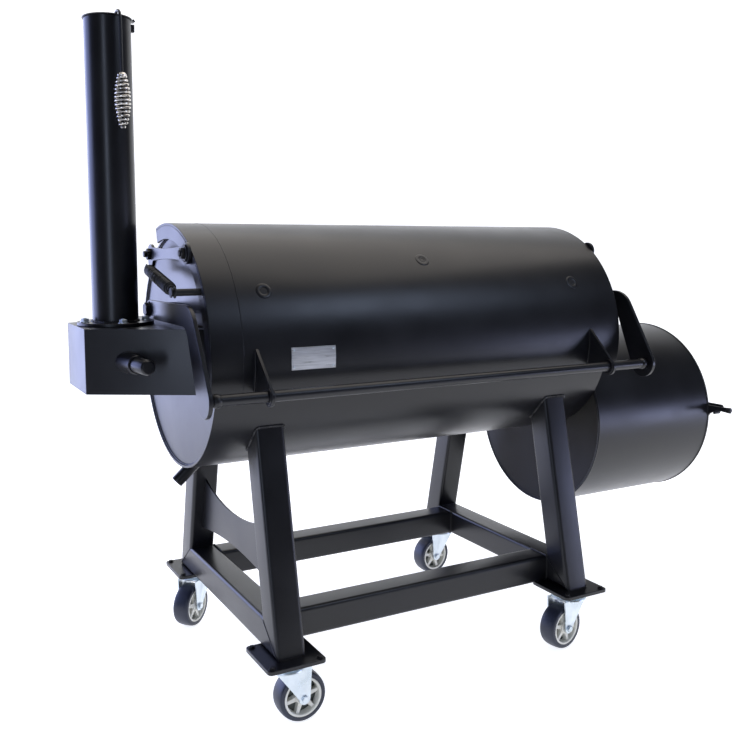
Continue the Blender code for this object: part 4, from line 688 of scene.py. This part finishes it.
# ------------------------------------------------------------------ collector and stack
def collector():
    """The folded box, its weld lines, and the side coupling with its plug."""
    corners = [(-0.8591, -0.100), (-0.6003, -0.250), (-0.6003, 0.250), (-0.8591, 0.100)]
    outline = softened(corners, 0.003, 4)
    inner = [(-0.8541, -0.0974), (-0.6003, -0.2445), (-0.6003, 0.2445), (-0.8541, 0.0974)]
    shape = box_with_mouth(outline, inner)
    show("collector_box", shape, POWDER, "pit", ["smoke_collector"], 0.0022)
    swing = math.radians(9.0)
    out = np.array((math.sin(swing), -math.cos(swing), 0.0))
    face = -(0.100 + 0.150 * (0.8591 + COUPLING_X) / 0.2588)
    start = np.array((COUPLING_X, face, (BOX_TOP + BOX_BASE) / 2)) - out * 0.012
    coupling = lathe(start, out, [(0, 0.0225), (0.072, 0.0225), (0.074, 0.0205)], 48)
    plug = lathe(start, out, [(0.070, 0.0180), (0.131, 0.0180), (0.1335, 0.0165), (0.136, 0.0140)], 48)
    shapes = joined(coupling, plug)
    show("side_coupling", shapes, POWDER, "pit", ["collector_port"], 0.0008)
    slope = (corners[1][1] - corners[0][1]) / (corners[1][0] - corners[0][0])
    turn = np.linspace(0, 2 * np.pi, 48, endpoint=False)
    x = COUPLING_X + 0.0235 * np.cos(turn) + 0.004
    z = (BOX_TOP + BOX_BASE) / 2 + 0.0235 * np.sin(turn)
    ring = np.stack((x, -0.100 + slope * (x + 0.8591) - 0.0005, z), -1)
    show("side_coupling_weld", weld(ring, 0.0026, True), POWDER, "pit")
    beads = []
    for y in (-1, 1):
        beads.append(weld([(-0.6045, y * 0.2475, BOX_BASE), (-0.6045, y * 0.2475, BOX_TOP)], 0.003))
    for z in (BOX_TOP, BOX_BASE):
        beads.append(weld([(-0.6035, -0.249, z), (-0.6035, 0.249, z)], 0.003))
    show("collector_welds", joined(*beads), POWDER, "pit")


def box_with_mouth(outline, inner):
    """The collector as an outer and an inner skin joined round its mouth, with a round hole in the
    top under the stack. The top faces run from the outline's points to the hole's."""
    outer = np.asarray(outline)
    count = len(outer)
    away = outer - (STACK_X, 0.0)
    hole = (STACK_X, 0.0) + away / np.linalg.norm(away, axis=1)[:, None] * 0.0525
    wall = 0.005
    small = shrink_to(inner, outer)
    levels = [
        (hole, BOX_TOP), (outer, BOX_TOP), (outer, BOX_BASE), (small, BOX_BASE + wall),
        (small, BOX_TOP - wall), (hole, BOX_TOP - wall),
    ]
    points = np.stack([np.column_stack((flat, np.full(count, z))) for flat, z in levels])
    made, faces = grid(points, wrap_rows=True, wrap_columns=True)
    floor = [2 * count + i for i in range(count)]
    inside = [3 * count + i for i in range(count)]
    kept = [f for f in faces if not {i // count for i in f} == {2, 3}]
    return made, kept + [floor, inside]


def shrink_to(inner, outer):
    """For each outer point, the nearest inner corner moved 15 parts in a hundred towards it."""
    inner = np.asarray(inner)
    distance = np.linalg.norm(inner[None] - outer[:, None], axis=2)
    near = inner[np.argmin(distance, axis=1)]
    return near + (outer - near) * 0.15


def stack():
    """Flange, zinc bolts, pipe with a rolled rim and a weld at its foot."""
    base = STACK_FOOT
    ring = [(0, 0.0562), (0, 0.0932), (0.0008, 0.094), (0.0072, 0.094), (0.008, 0.0932), (0.008, 0.0562)]
    shape = lathe((STACK_X, 0, base), (0, 0, 1), ring, 96, True)
    show("stack_foot", shape, POWDER, "pit", ["stack_flange"])
    bolts = []
    for n in range(4):
        turn = math.pi / 2 * n
        spot = (STACK_X + 0.076 * math.cos(turn), 0.076 * math.sin(turn))
        bolts.append(lathe((*spot, base + 0.008), (0, 0, 1), [(0, 0.0125), (0.0016, 0.0122)], 28))
        bolts.append(hexagon((*spot, base + 0.0096), (0, 0, 1), 0.0100, 0.0075))
        bolts.append(lathe((*spot, base + 0.0165), (0, 0, 1), [(0, 0.0048), (0.0022, 0.0042)], 16))
    show("stack_bolts", joined(*bolts), ZINC, "pit", bevel=0.0004)
    tall = STACK_TALL
    pipe = [(0, 0.052), (0, 0.0559), (tall - 0.001, 0.056)]
    pipe += [(tall, 0.0552), (tall, 0.0526), (tall - 0.001, 0.052)]
    shape = lathe((STACK_X, 0, base), (0, 0, 1), pipe, 128, True)
    show("stack_tube", shape, POWDER, "pit", ["stack_pipe"])
    turn = np.linspace(0, 2 * np.pi, 80, endpoint=False)
    foot = np.stack((STACK_X + 0.057 * np.cos(turn), 0.057 * np.sin(turn), np.full(80, base + 0.0085)), -1)
    show("stack_foot_weld", weld(foot, 0.003, True), POWDER, "pit")
    top = base + tall
    lug = box((STACK_X + 0.054, STACK_X + 0.065), (-0.006, 0.006), (top - 0.0235, top - 0.0055))
    show("cap_hinge_lug", lug, POWDER, "pit", bevel=0.001)


def rain_cap():
    """The cap with its folded rim, the bent rod, and the coil grip with a nut at its end."""
    top = STACK_FOOT + STACK_TALL + 0.0003
    disc = [(0, 0.0585), (0.0006, 0.0594), (0.0024, 0.0594), (0.0032, 0.0580), (0.0036, 0.030)]
    shape = [lathe((STACK_X, 0, top), (0, 0, 1), disc, 96)]
    shape.append(box((STACK_X + 0.052, STACK_X + 0.066), (-0.010, 0.010), (top + 0.0002, top + 0.003)))
    hinge = (STACK_X + 0.0615, -0.011, top + 0.0030)
    shape.append(lathe(hinge, (0, 1, 0), [(0, 0.0026), (0.022, 0.0026)], 20))
    x = STACK_X + 0.012
    peak = top + 0.003
    run = [(-0.012, 0.000), (-0.030, 0.001), (-0.044, 0.0075), (-0.062, 0.0075), (-0.076, -0.002)]
    run += [(-0.079, -0.022), (-0.079, -0.150), (-0.079, -0.266)]
    bends = np.array([(x, y, peak + z) for y, z in run])
    shape.append(tube(eased(bends), 0.0035, 14))
    show("stack_lid_and_rod", joined(*shape), POWDER, "rain_cap", ["rain_cap"], 0.0004)
    high, low = peak - 0.144, peak - 0.260

    def bulge(share):
        return 0.0080 + 0.0092 * math.sin(math.pi * share) ** 0.9

    grip = coil(np.array((x, -0.079, high)), np.array((x, -0.079, low)), bulge, 0.0027, 13, 24, 10)
    nut = hexagon((x, -0.079, low - 0.003), (0, 0, -1), 0.0062, 0.005)
    collar = lathe((x, -0.079, high - 0.004), (0, 0, 1), [(0, 0.0105), (0.003, 0.0112), (0.008, 0.0075)], 24)
    show("coil_grip", joined(grip, nut, collar), NICKEL, "rain_cap", ["cap_grip"])


def eased(points, steps=8):
    """A path whose corners are rounded the same way as softened() rounds an outline."""
    found = [points[:1]]
    share = np.linspace(0, 1, steps)[:, None]
    for before, corner, after in zip(points, points[1:], points[2:]):
        start, end = (before + corner) / 2, (corner + after) / 2
        found.append((1 - share) ** 2 * start + 2 * share * (1 - share) * corner + share**2 * end)
    found.append(points[-1:])
    path = np.concatenate(found)
    return path[np.concatenate(([True], np.linalg.norm(np.diff(path, axis=0), axis=1) > 1e-5))]


# ------------------------------------------------------------------ firebox
def firebox():
    """Drum, end plate with its ear and hinge lugs, the ear's bolt, and the weld rings."""
    near, far, radius = FIREBOX_NEAR, FIREBOX_FAR, FIREBOX_RADIUS
    wall = [(0, 0.2730), (0, radius), (far - near, radius), (far - near, 0.2730)]
    shape = lathe((near, 0, FIRE_AXIS), (1, 0, 0), wall, 192, True)
    show("firebox_drum", shape, POWDER, "pit", ["firebox_shell"], 0.001)
    face = far + 0.0003
    ring = [(0, 0.2000), (0, radius), (0.0064, radius), (0.0064, 0.2000)]
    plate = lathe((face, 0, FIRE_AXIS), (1, 0, 0), ring, 160, True)
    y, z = -0.356, FIRE_AXIS + 0.030
    steps = [(0.033, 0.0062), (0.017, 0.0072), (-0.007, 0.009), (-0.007, -0.009), (0.020, -0.0072)]
    steps += [(0.037, -0.0062), (0.050, -0.0092), (0.062, -0.0162), (0.070, -0.0212), (0.078, -0.0322)]
    outline = [(-0.2515, z - 0.050), (-0.2515, z + 0.0062)] + [(y + a, z + b) for a, b in steps]
    ear = slab("x", softened(outline, 0.0022, 4), face + 0.0002, face + 0.0062)
    bolt = joined(
        rod_x((y, z), 0.0088, face - 0.0016, face + 0.0002),
        hexagon((face - 0.0014, y, z), (-1, 0, 0), 0.0078, 0.005),
        rod_x((y, z), 0.0050, face + 0.004, face + 0.0105),
        hexagon((face + 0.0062, y, z), (1, 0, 0), 0.0078, 0.004),
    )
    keeper = rod_x((-0.300, LATCH_SEAT), 0.005, face + 0.004, 1.1105)
    knuckles = []
    for offset in (-0.075, 0.075):
        base = FIRE_AXIS + offset
        barrel_profile = [(0, 0.0103), (0.001, 0.011), (0.027, 0.011), (0.028, 0.0103)]
        knuckles.append(lathe((1.1005, 0.262, base - 0.014), (0, 0, 1), barrel_profile, 32))
        knuckles.append(box((face, 1.1005), (0.254, 0.270), (base - 0.0138, base + 0.0138)))
    shape = joined(plate, ear, keeper, *knuckles)
    show("firebox_face", shape, POWDER, "pit", ["firebox_outer_end"], 0.001)
    show("ear_bolt", bolt, BOLT_BLACK, "pit", bevel=0.0004)
    rings = (("firebox_near_weld", near - 0.0004, 0.2801), ("firebox_far_weld", far + 0.0002, radius))
    for name, x, size in rings:
        show(name, weld_ring(x, size, FIRE_AXIS, 0.0022), POWDER, "pit")


# ------------------------------------------------------------------ stand
def square_section(steps=6):
    """Round-cornered square tube section, centred, as pairs across its sides."""
    half = TUBE / 2
    return softened([(-half, -half), (half, -half), (half, half), (-half, half)], 0.011, steps)


def leg_face(z):
    """Where a leg's outer face stands at a height."""
    return FOOT_REACH - SLOPE * (z - RAIL_LOW)


def stand():
    """Mitred square-tube legs and rails, the arched brace, pads with corner bolts, and weld lines. Each
    line of a leg runs from the mitre's plane up to where it meets the barrel: the lesser root of the
    square of its distance from the barrel's axis set equal to the square of the seat's radius."""
    lean = math.atan(SLOPE)
    section = square_section()
    side, down = section.T
    corner = leg_face(RAIL_LOW + TUBE) - TUBE / math.cos(lean)
    mitre = np.array((leg_face(RAIL_LOW) - corner, -TUBE))
    welds = []
    for sx, wx in ((-1, "left"), (1, "right")):
        middle = sx * (STAND_HALF - TUBE / 2)
        for sy, wy in ((-1, "front"), (1, "rear")):
            up = np.array((-math.sin(lean), math.cos(lean)))
            out = np.array((math.cos(lean), math.sin(lean)))
            base = np.array((leg_face(RAIL_LOW), RAIL_LOW)) - out * TUBE / 2
            line = base + down[:, None] * out
            gap = np.array((corner, RAIL_LOW + TUBE)) - line
            low = (gap[:, 0] * mitre[1] - gap[:, 1] * mitre[0]) / (up[0] * mitre[1] - up[1] * mitre[0])
            away = line - (0.0, AXIS)
            half_b = away @ up
            high = -half_b - np.sqrt(np.maximum(0.0, half_b**2 - (away**2).sum(1) + LEG_SEAT**2))
            foot, head = line + low[:, None] * up, line + high[:, None] * up
            rings = [np.column_stack((middle + side, sy * at[:, 0], at[:, 1])) for at in (foot, head)]
            points, faces = grid(np.array(rings), wrap_columns=True)
            count = len(section)
            faces += [list(range(count)), list(range(count, 2 * count))]
            name = f"leg_{wy}_{wx}"
            show(f"stand_{name}", (points, faces), POWDER, "pit", [name])
            welds.append(weld(rings[1], 0.0050, True))
            welds.append(weld(rings[0], 0.0014, True))
            pad(sx, sy, f"{wy}_{wx}")
        z = RAIL_LOW + TUBE / 2 + down
        reach = corner + mitre[0] * (RAIL_LOW + TUBE - z) / TUBE
        ends = [np.column_stack((middle + side, sy * reach, z)) for sy in (-1, 1)]
        rail = grid(np.array(ends), wrap_columns=True)
        show(f"stand_side_rail_{wx}", rail, POWDER, "pit", [f"side_rail_{wx}"])
    for sy, wy in ((-1, "front"), (1, "rear")):
        y = sy * (0.2804 - TUBE / 2)
        z = RAIL_LOW + TUBE / 2 + down
        ends = [np.column_stack((np.full(len(z), x), y + side, z)) for x in (-0.4143, 0.4143)]
        rail = grid(np.array(ends), wrap_columns=True)
        show(f"stand_long_rail_{wy}", rail, POWDER, "pit", [f"long_rail_{wy}"])
        for ring in ends:
            welds.append(weld(ring, 0.0026, True))
    show("stand_welds", joined(*welds), POWDER, "pit")
    brace(lean)


def brace(lean):
    """The arched plate: its top edge sags and its bottom edge rises, both as the square of the
    distance from the middle."""
    share = np.linspace(-1, 1, 49)
    edges = []
    for centre, end in ((-0.460, -0.418), (-0.550, -0.573)):
        z = AXIS + centre + (end - centre) * share**2
        reach = leg_face(z) - TUBE / math.cos(lean) - 0.0004
        edges.append(np.stack((share * reach, z), -1))
    outline = np.concatenate((edges[0], edges[1][::-1]))
    middle = -(STAND_HALF - TUBE / 2)
    plate = slab("x", outline, middle - 0.003, middle + 0.003)
    show("arched_brace", plate, POWDER, "pit", ["brace_plate"], 0.0008)


def pad(sx, sy, word):
    """Caster pad, the caster's zinc plate under it, and a bolt in each corner."""
    x, y = sx * PAD_X, sy * PAD_Y
    half = 0.076
    around = ((-1, -1), (1, -1), (1, 1), (-1, 1))
    corners = [(x + a * half, y + b * half) for a, b in around]
    shape = slab("z", softened(corners, 0.014, 6), PAD_BASE, PAD_BASE + 0.010)
    show(f"pad_{word}", shape, POWDER, "pit", [f"caster_pad_{word}"], 0.0014)
    corners = [(x + a * 0.058, y + b * 0.051) for a, b in around]
    plate = slab("z", softened(corners, 0.01, 4), PAD_BASE - 0.0042, PAD_BASE - 0.0002)
    show(f"caster_plate_{word}", plate, ZINC, "pit", bevel=0.0006)
    bolts = []
    for a, b in around:
        spot = (x + a * 0.062, y + b * 0.062)
        bolts.append(lathe((*spot, PAD_BASE + 0.0098), (0, 0, 1), [(0, 0.0088), (0.0014, 0.0085)], 24))
        bolts.append(hexagon((*spot, PAD_BASE + 0.0110), (0, 0, 1), 0.0068, 0.0042))
    show(f"pad_bolts_{word}", joined(*bolts), BOLT_BLACK, "pit", bevel=0.0004)


# ------------------------------------------------------------------ casters
def cheek(side):
    """One side of a fork: its edges draw in from the crown to the axle as the 0.95th power of the way
    down, and its pressed crease is 3 mm times e to the minus square of the distance across, over 13
    parts in a hundred, fading out as a sine at the top and the bottom."""
    rows, columns = 22, 18
    top, boss = 0.1445, 0.0150
    down, part = np.meshgrid(np.linspace(0, 1, rows), np.linspace(0, 1, columns), indexing="ij")
    left = -0.040 + (CASTER_TRAIL - boss + 0.040) * down**0.95
    right = 0.056 + (CASTER_TRAIL + boss - 0.056) * down**0.95
    x = left + (right - left) * part
    z = top + (AXLE_HEIGHT - top) * down
    fade = np.sin(np.pi * np.minimum(1, down + 0.12))
    crease = 0.0030 * np.exp(-(((part - 0.56) / 0.13) ** 2)) * fade
    outer, outer_faces = grid(np.stack((x, side * (0.0334 + crease), z), -1))
    inner, inner_faces = grid(np.stack((x, side * (0.0294 + crease), z), -1))
    count = rows * columns
    edge = [i * columns for i in range(rows)] + [(rows - 1) * columns + j for j in range(1, columns)]
    edge += [i * columns + columns - 1 for i in range(rows - 2, -1, -1)] + list(range(columns - 2, 0, -1))
    walls = [[a, b, b + count, a + count] for a, b in zip(edge, edge[1:] + edge[:1])]
    faces = outer_faces + [[i + count for i in face[::-1]] for face in inner_faces] + walls
    shape = (np.concatenate((outer, inner)), faces)
    profile = [(0, boss), (0.0034, boss), (0.0042, 0.0143)]
    tip = lathe((CASTER_TRAIL, side * 0.0294, AXLE_HEIGHT), (0, side, 0), profile, 40)
    return joined(shape, tip)


def casters():
    """Four swivel casters, each turned as it stopped."""
    turns = {"front_left": 0.0, "front_right": 189.0, "rear_left": 219.0, "rear_right": 187.0}
    for word, degrees in turns.items():
        sx = -1 if word.endswith("left") else 1
        sy = -1 if word.startswith("front") else 1
        angle = math.radians(degrees)
        c, s = math.cos(angle), math.sin(angle)
        spin = np.array(((c, -s, 0), (s, c, 0), (0, 0, 1)))
        turn = (spin, np.array((sx * PAD_X, sy * PAD_Y, 0.0)))
        crown = [(0.1395, 0.030), (0.1395, 0.047), (0.1425, 0.050), (0.1455, 0.049), (0.1475, 0.040)]
        crown += [(0.152, 0.0385), (0.1535, 0.036), (0.1575, 0.036), (0.1612, 0.033), (0.1612, 0.010)]
        race = lathe((0, 0, 0), (0, 0, 1), crown, 64)
        bolt = joined(
            lathe((CASTER_TRAIL, -0.037, AXLE_HEIGHT), (0, 1, 0), [(0, 0.005), (0.074, 0.005)], 20),
            hexagon((CASTER_TRAIL, -0.0334, AXLE_HEIGHT), (0, -1, 0), 0.0095, 0.0062),
            hexagon((CASTER_TRAIL, 0.0334, AXLE_HEIGHT), (0, 1, 0), 0.0095, 0.0062),
        )
        shape = joined(race, cheek(1), cheek(-1), bolt)
        show(f"fork_{word}", shape, ZINC, f"caster_{word}", [f"caster_fork_{word}"], 0.0004, turn)
        wheel(word, turn)


def both_sides(half):
    """A ring's closed profile from its half on the positive side."""
    return half + [(-at, radius) for at, radius in reversed(half)]


def wheel(word, turn):
    """Rounded tread on a spoked centre, with a web set back between the spokes whose dark grey-green is
    painted shade.
    """
    centre = (CASTER_TRAIL, 0.0, AXLE_HEIGHT)
    bulge = np.linspace(-1.45, 1.45, 19)
    shoulder = [(0.025 * math.sin(t), 0.0545 + 0.009 * math.cos(t) ** 0.5) for t in bulge]
    tread = [(-0.0245, 0.0500)] + shoulder + [(0.0245, 0.0500)]
    tyre = lathe(centre, (0, 1, 0), tread, 96, True)
    show(f"tread_{word}", tyre, TREAD, f"wheel_{word}", [f"caster_tyre_{word}"], 0.0, turn)
    lip = [(0.012, 0.0425), (0.0235, 0.0435), (0.0245, 0.0450), (0.0245, 0.0492), (0.0225, 0.0500)]
    rim = both_sides(lip)
    hub = both_sides([(0.0240, 0.0056), (0.0240, 0.0165), (0.0225, 0.0180)])
    shapes = [lathe(centre, (0, 1, 0), rim, 72, True), lathe(centre, (0, 1, 0), hub, 48, True)]
    for n in range(6):
        angle = math.radians(60 * n + 12)
        out = np.array((math.cos(angle), math.sin(angle)))
        side = np.array((-out[1], out[0]))
        middle = np.array((CASTER_TRAIL, AXLE_HEIGHT))
        taper = ((0.016, -0.0062), (0.044, -0.0042), (0.044, 0.0042), (0.016, 0.0062))
        spoke = [middle + out * r + side * w for r, w in taper]
        shapes.append(slab("y", spoke, -0.0185, 0.0185))
    # The web disc behind the spokes is coloured dark as painted shade.
    disc = [(-0.005, 0.016), (-0.005, 0.0445), (0.005, 0.0445), (0.005, 0.016)]
    web = lathe(centre, (0, 1, 0), disc, 64, True)
    show(f"wheel_painted_shade_web_{word}", web, PAINTED_SHADE_WEB, f"wheel_{word}", turn=turn)
    body = f"wheel_{word}"
    stands_for = [f"caster_rim_{word}"]
    show(f"wheel_centre_{word}", joined(*shapes), RIM, body, stands_for, 0.0007, turn)


# ------------------------------------------------------------------ inside
def grates():
    """Round-bar cooking grates on flat rails."""
    top = AXIS - 0.040
    low, high = -0.5816, 0.5876
    middle = (low + high) / 2
    for word, start, end in (("left", low, middle - 0.002), ("right", middle + 0.002, high)):
        bars = []
        for y in np.linspace(-0.254, 0.254, 31):
            spots = (start + 0.001, (start + end) / 2, end - 0.001)
            bars.append(tube([(x, y, top - 0.003) for x in spots], 0.0030, 8))
        for x in np.linspace(start + 0.006, end - 0.006, 5):
            bars.append(box((x - 0.003, x + 0.003), (-0.262, 0.262), (top - 0.008, top - 0.003)))
        show(f"grate_bars_{word}", joined(*bars), GRATE, "pit", [f"cooking_grate_{word}"])


# ------------------------------------------------------------------ room, light and camera
def studio():
    """A pale floor that runs up into a pale wall, both giving off a painted glow that fades out towards the
    camera, soft panels of light, and the camera.
    """
    made, tree, shader = nodes_of("pale_floor_painted_glow")
    colour = blended(tree, spread(tree, noise(tree, 0.6), 0.0, 1.0), (0.86, 0.87, 0.88), (0.90, 0.905, 0.91))
    tree.links.new(colour, shader.inputs["Base Color"])
    shader.inputs["Roughness"].default_value = 0.7
    shader.inputs["Specular IOR Level"].default_value = 0.15
    view = math.radians(28)
    place = tree.nodes.new("ShaderNodeTexCoord")
    reach = tree.nodes.new("ShaderNodeVectorMath")
    reach.operation = "DOT_PRODUCT"
    reach.inputs[1].default_value = (math.sin(view), math.cos(view), 0.0)
    tree.links.new(place.outputs["Object"], reach.inputs[0])
    # Painted glow: the floor and wall give off a faint blue-white light of strength 0.84. It fades to none
    # towards the camera, lights the smoker and shows in its reflections.
    shader.inputs["Emission Color"].default_value = (0.97, 0.98, 1.0, 1.0)
    painted_glow = spread(tree, reach.outputs["Value"], 0.0, 0.84, -2.3, -1.5)
    tree.links.new(painted_glow, shader.inputs["Emission Strength"])
    sweep = np.linspace(0.1, 1.57, 12)
    profile = [(-9.0, 0.0), (7.0, 0.0)] + [(7 + 3 * math.sin(t), 3 - 3 * math.cos(t)) for t in sweep]
    profile.append((10.0, 12.0))
    away = np.array((math.sin(view), math.cos(view), 0.0))
    side = np.array((math.cos(view), -math.sin(view), 0.0))
    rows = [[away * d + side * s + (0, 0, h) for s in (-16.0, 16.0)] for d, h in profile]
    points, faces = grid(np.array(rows))
    mesh = bpy.data.meshes.new("floor_and_wall")
    mesh.from_pydata(points.tolist(), [], faces)
    mesh.shade_smooth()
    floor = bpy.data.objects.new("floor_and_wall", mesh)
    floor.data.materials.append(made)
    bpy.context.scene.collection.objects.link(floor)
    world = bpy.data.worlds.new("room")
    world.use_nodes = True
    world.node_tree.nodes["Background"].inputs["Color"].default_value = (0.80, 0.84, 0.92, 1.0)
    world.node_tree.nodes["Background"].inputs["Strength"].default_value = 0.10
    bpy.context.scene.world = world
    bpy.context.scene.view_settings.view_transform = "Standard"
    panel("cool_side_panel", (-3.4, 3.4, 1.5), (0.0, 0.0, 0.8), (4.6, 3.4), 200, (0.44, 0.52, 1.0))
    panel("overhead_panel", (0.4, 0.5, 3.9), (0.0, 0.0, 0.8), (5.0, 3.0), 80, (1.0, 0.94, 0.88))
    panel("strip_panel", (-2.6, -2.6, 1.4), (-0.5, 0.0, 1.0), (0.35, 2.4), 18, (0.66, 0.76, 1.0))
    panel("front_high_panel", (1.9, -3.4, 3.6), (0.1, 0.0, 0.9), (1.6, 1.2), 30, (0.62, 0.74, 1.0))
    panel("right_cool_panel", (3.6, -3.0, 0.35), (0.8, 0.0, 0.5), (1.6, 0.9), 30, (0.56, 0.62, 1.0))


def panel(name, place, target, size, power, colour):
    """A rectangle of light that the camera doesn't see, facing a target."""
    data = bpy.data.lights.new(name, "AREA")
    data.shape = "RECTANGLE"
    data.size, data.size_y = size
    data.energy = power
    data.color = colour
    made = bpy.data.objects.new(name, data)
    bpy.context.scene.collection.objects.link(made)
    made.location = place
    aim = np.array(target) - np.array(place)
    made.rotation_euler = (
        math.atan2(math.hypot(aim[0], aim[1]), -aim[2]), 0.0, math.atan2(-aim[0], aim[1]),
    )
    made.visible_camera = False


def camera():
    """The camera stands off the stack end, a little above the lid."""
    data = bpy.data.cameras.new("camera")
    data.sensor_width = 36.0
    data.lens = 41.52
    data.shift_x = 0.0507
    data.shift_y = -0.0470
    data.clip_end = 60.0
    made = bpy.data.objects.new("camera", data)
    made.location = np.array((-1.2839, -2.1782, AXIS + 0.2681)) + SHIFT
    made.rotation_euler = (math.radians(90 - 6.13), math.radians(0.10), math.radians(-27.96))
    bpy.context.scene.collection.objects.link(made)
    bpy.context.scene.camera = made


def plain_parts():
    """The hidden and inner parts keep their solid shape and take a finish."""
    slots = {"black_paint": POWDER, "lid_paint": POWDER, "bare_grate": GRATE, "zinc": ZINC}
    sooty = {"grate_ledge_front", "grate_ledge_rear", "firebox_inner_end"}
    listed = {entry["node"]: entry["material_slot"] for entry in frame["record"]["subparts"]}
    for name, node in frame["nodes"].items():
        if node.hide_render:
            continue
        node.data.materials.clear()
        node.data.materials.append(SOOT if name in sooty else slots.get(listed[name], POWDER))


barrel()
fixed_pins()
lid()
arms()
links()
spring()
collector()
stack()
rain_cap()
firebox()
stand()
casters()
grates()
plain_parts()
studio()
camera()
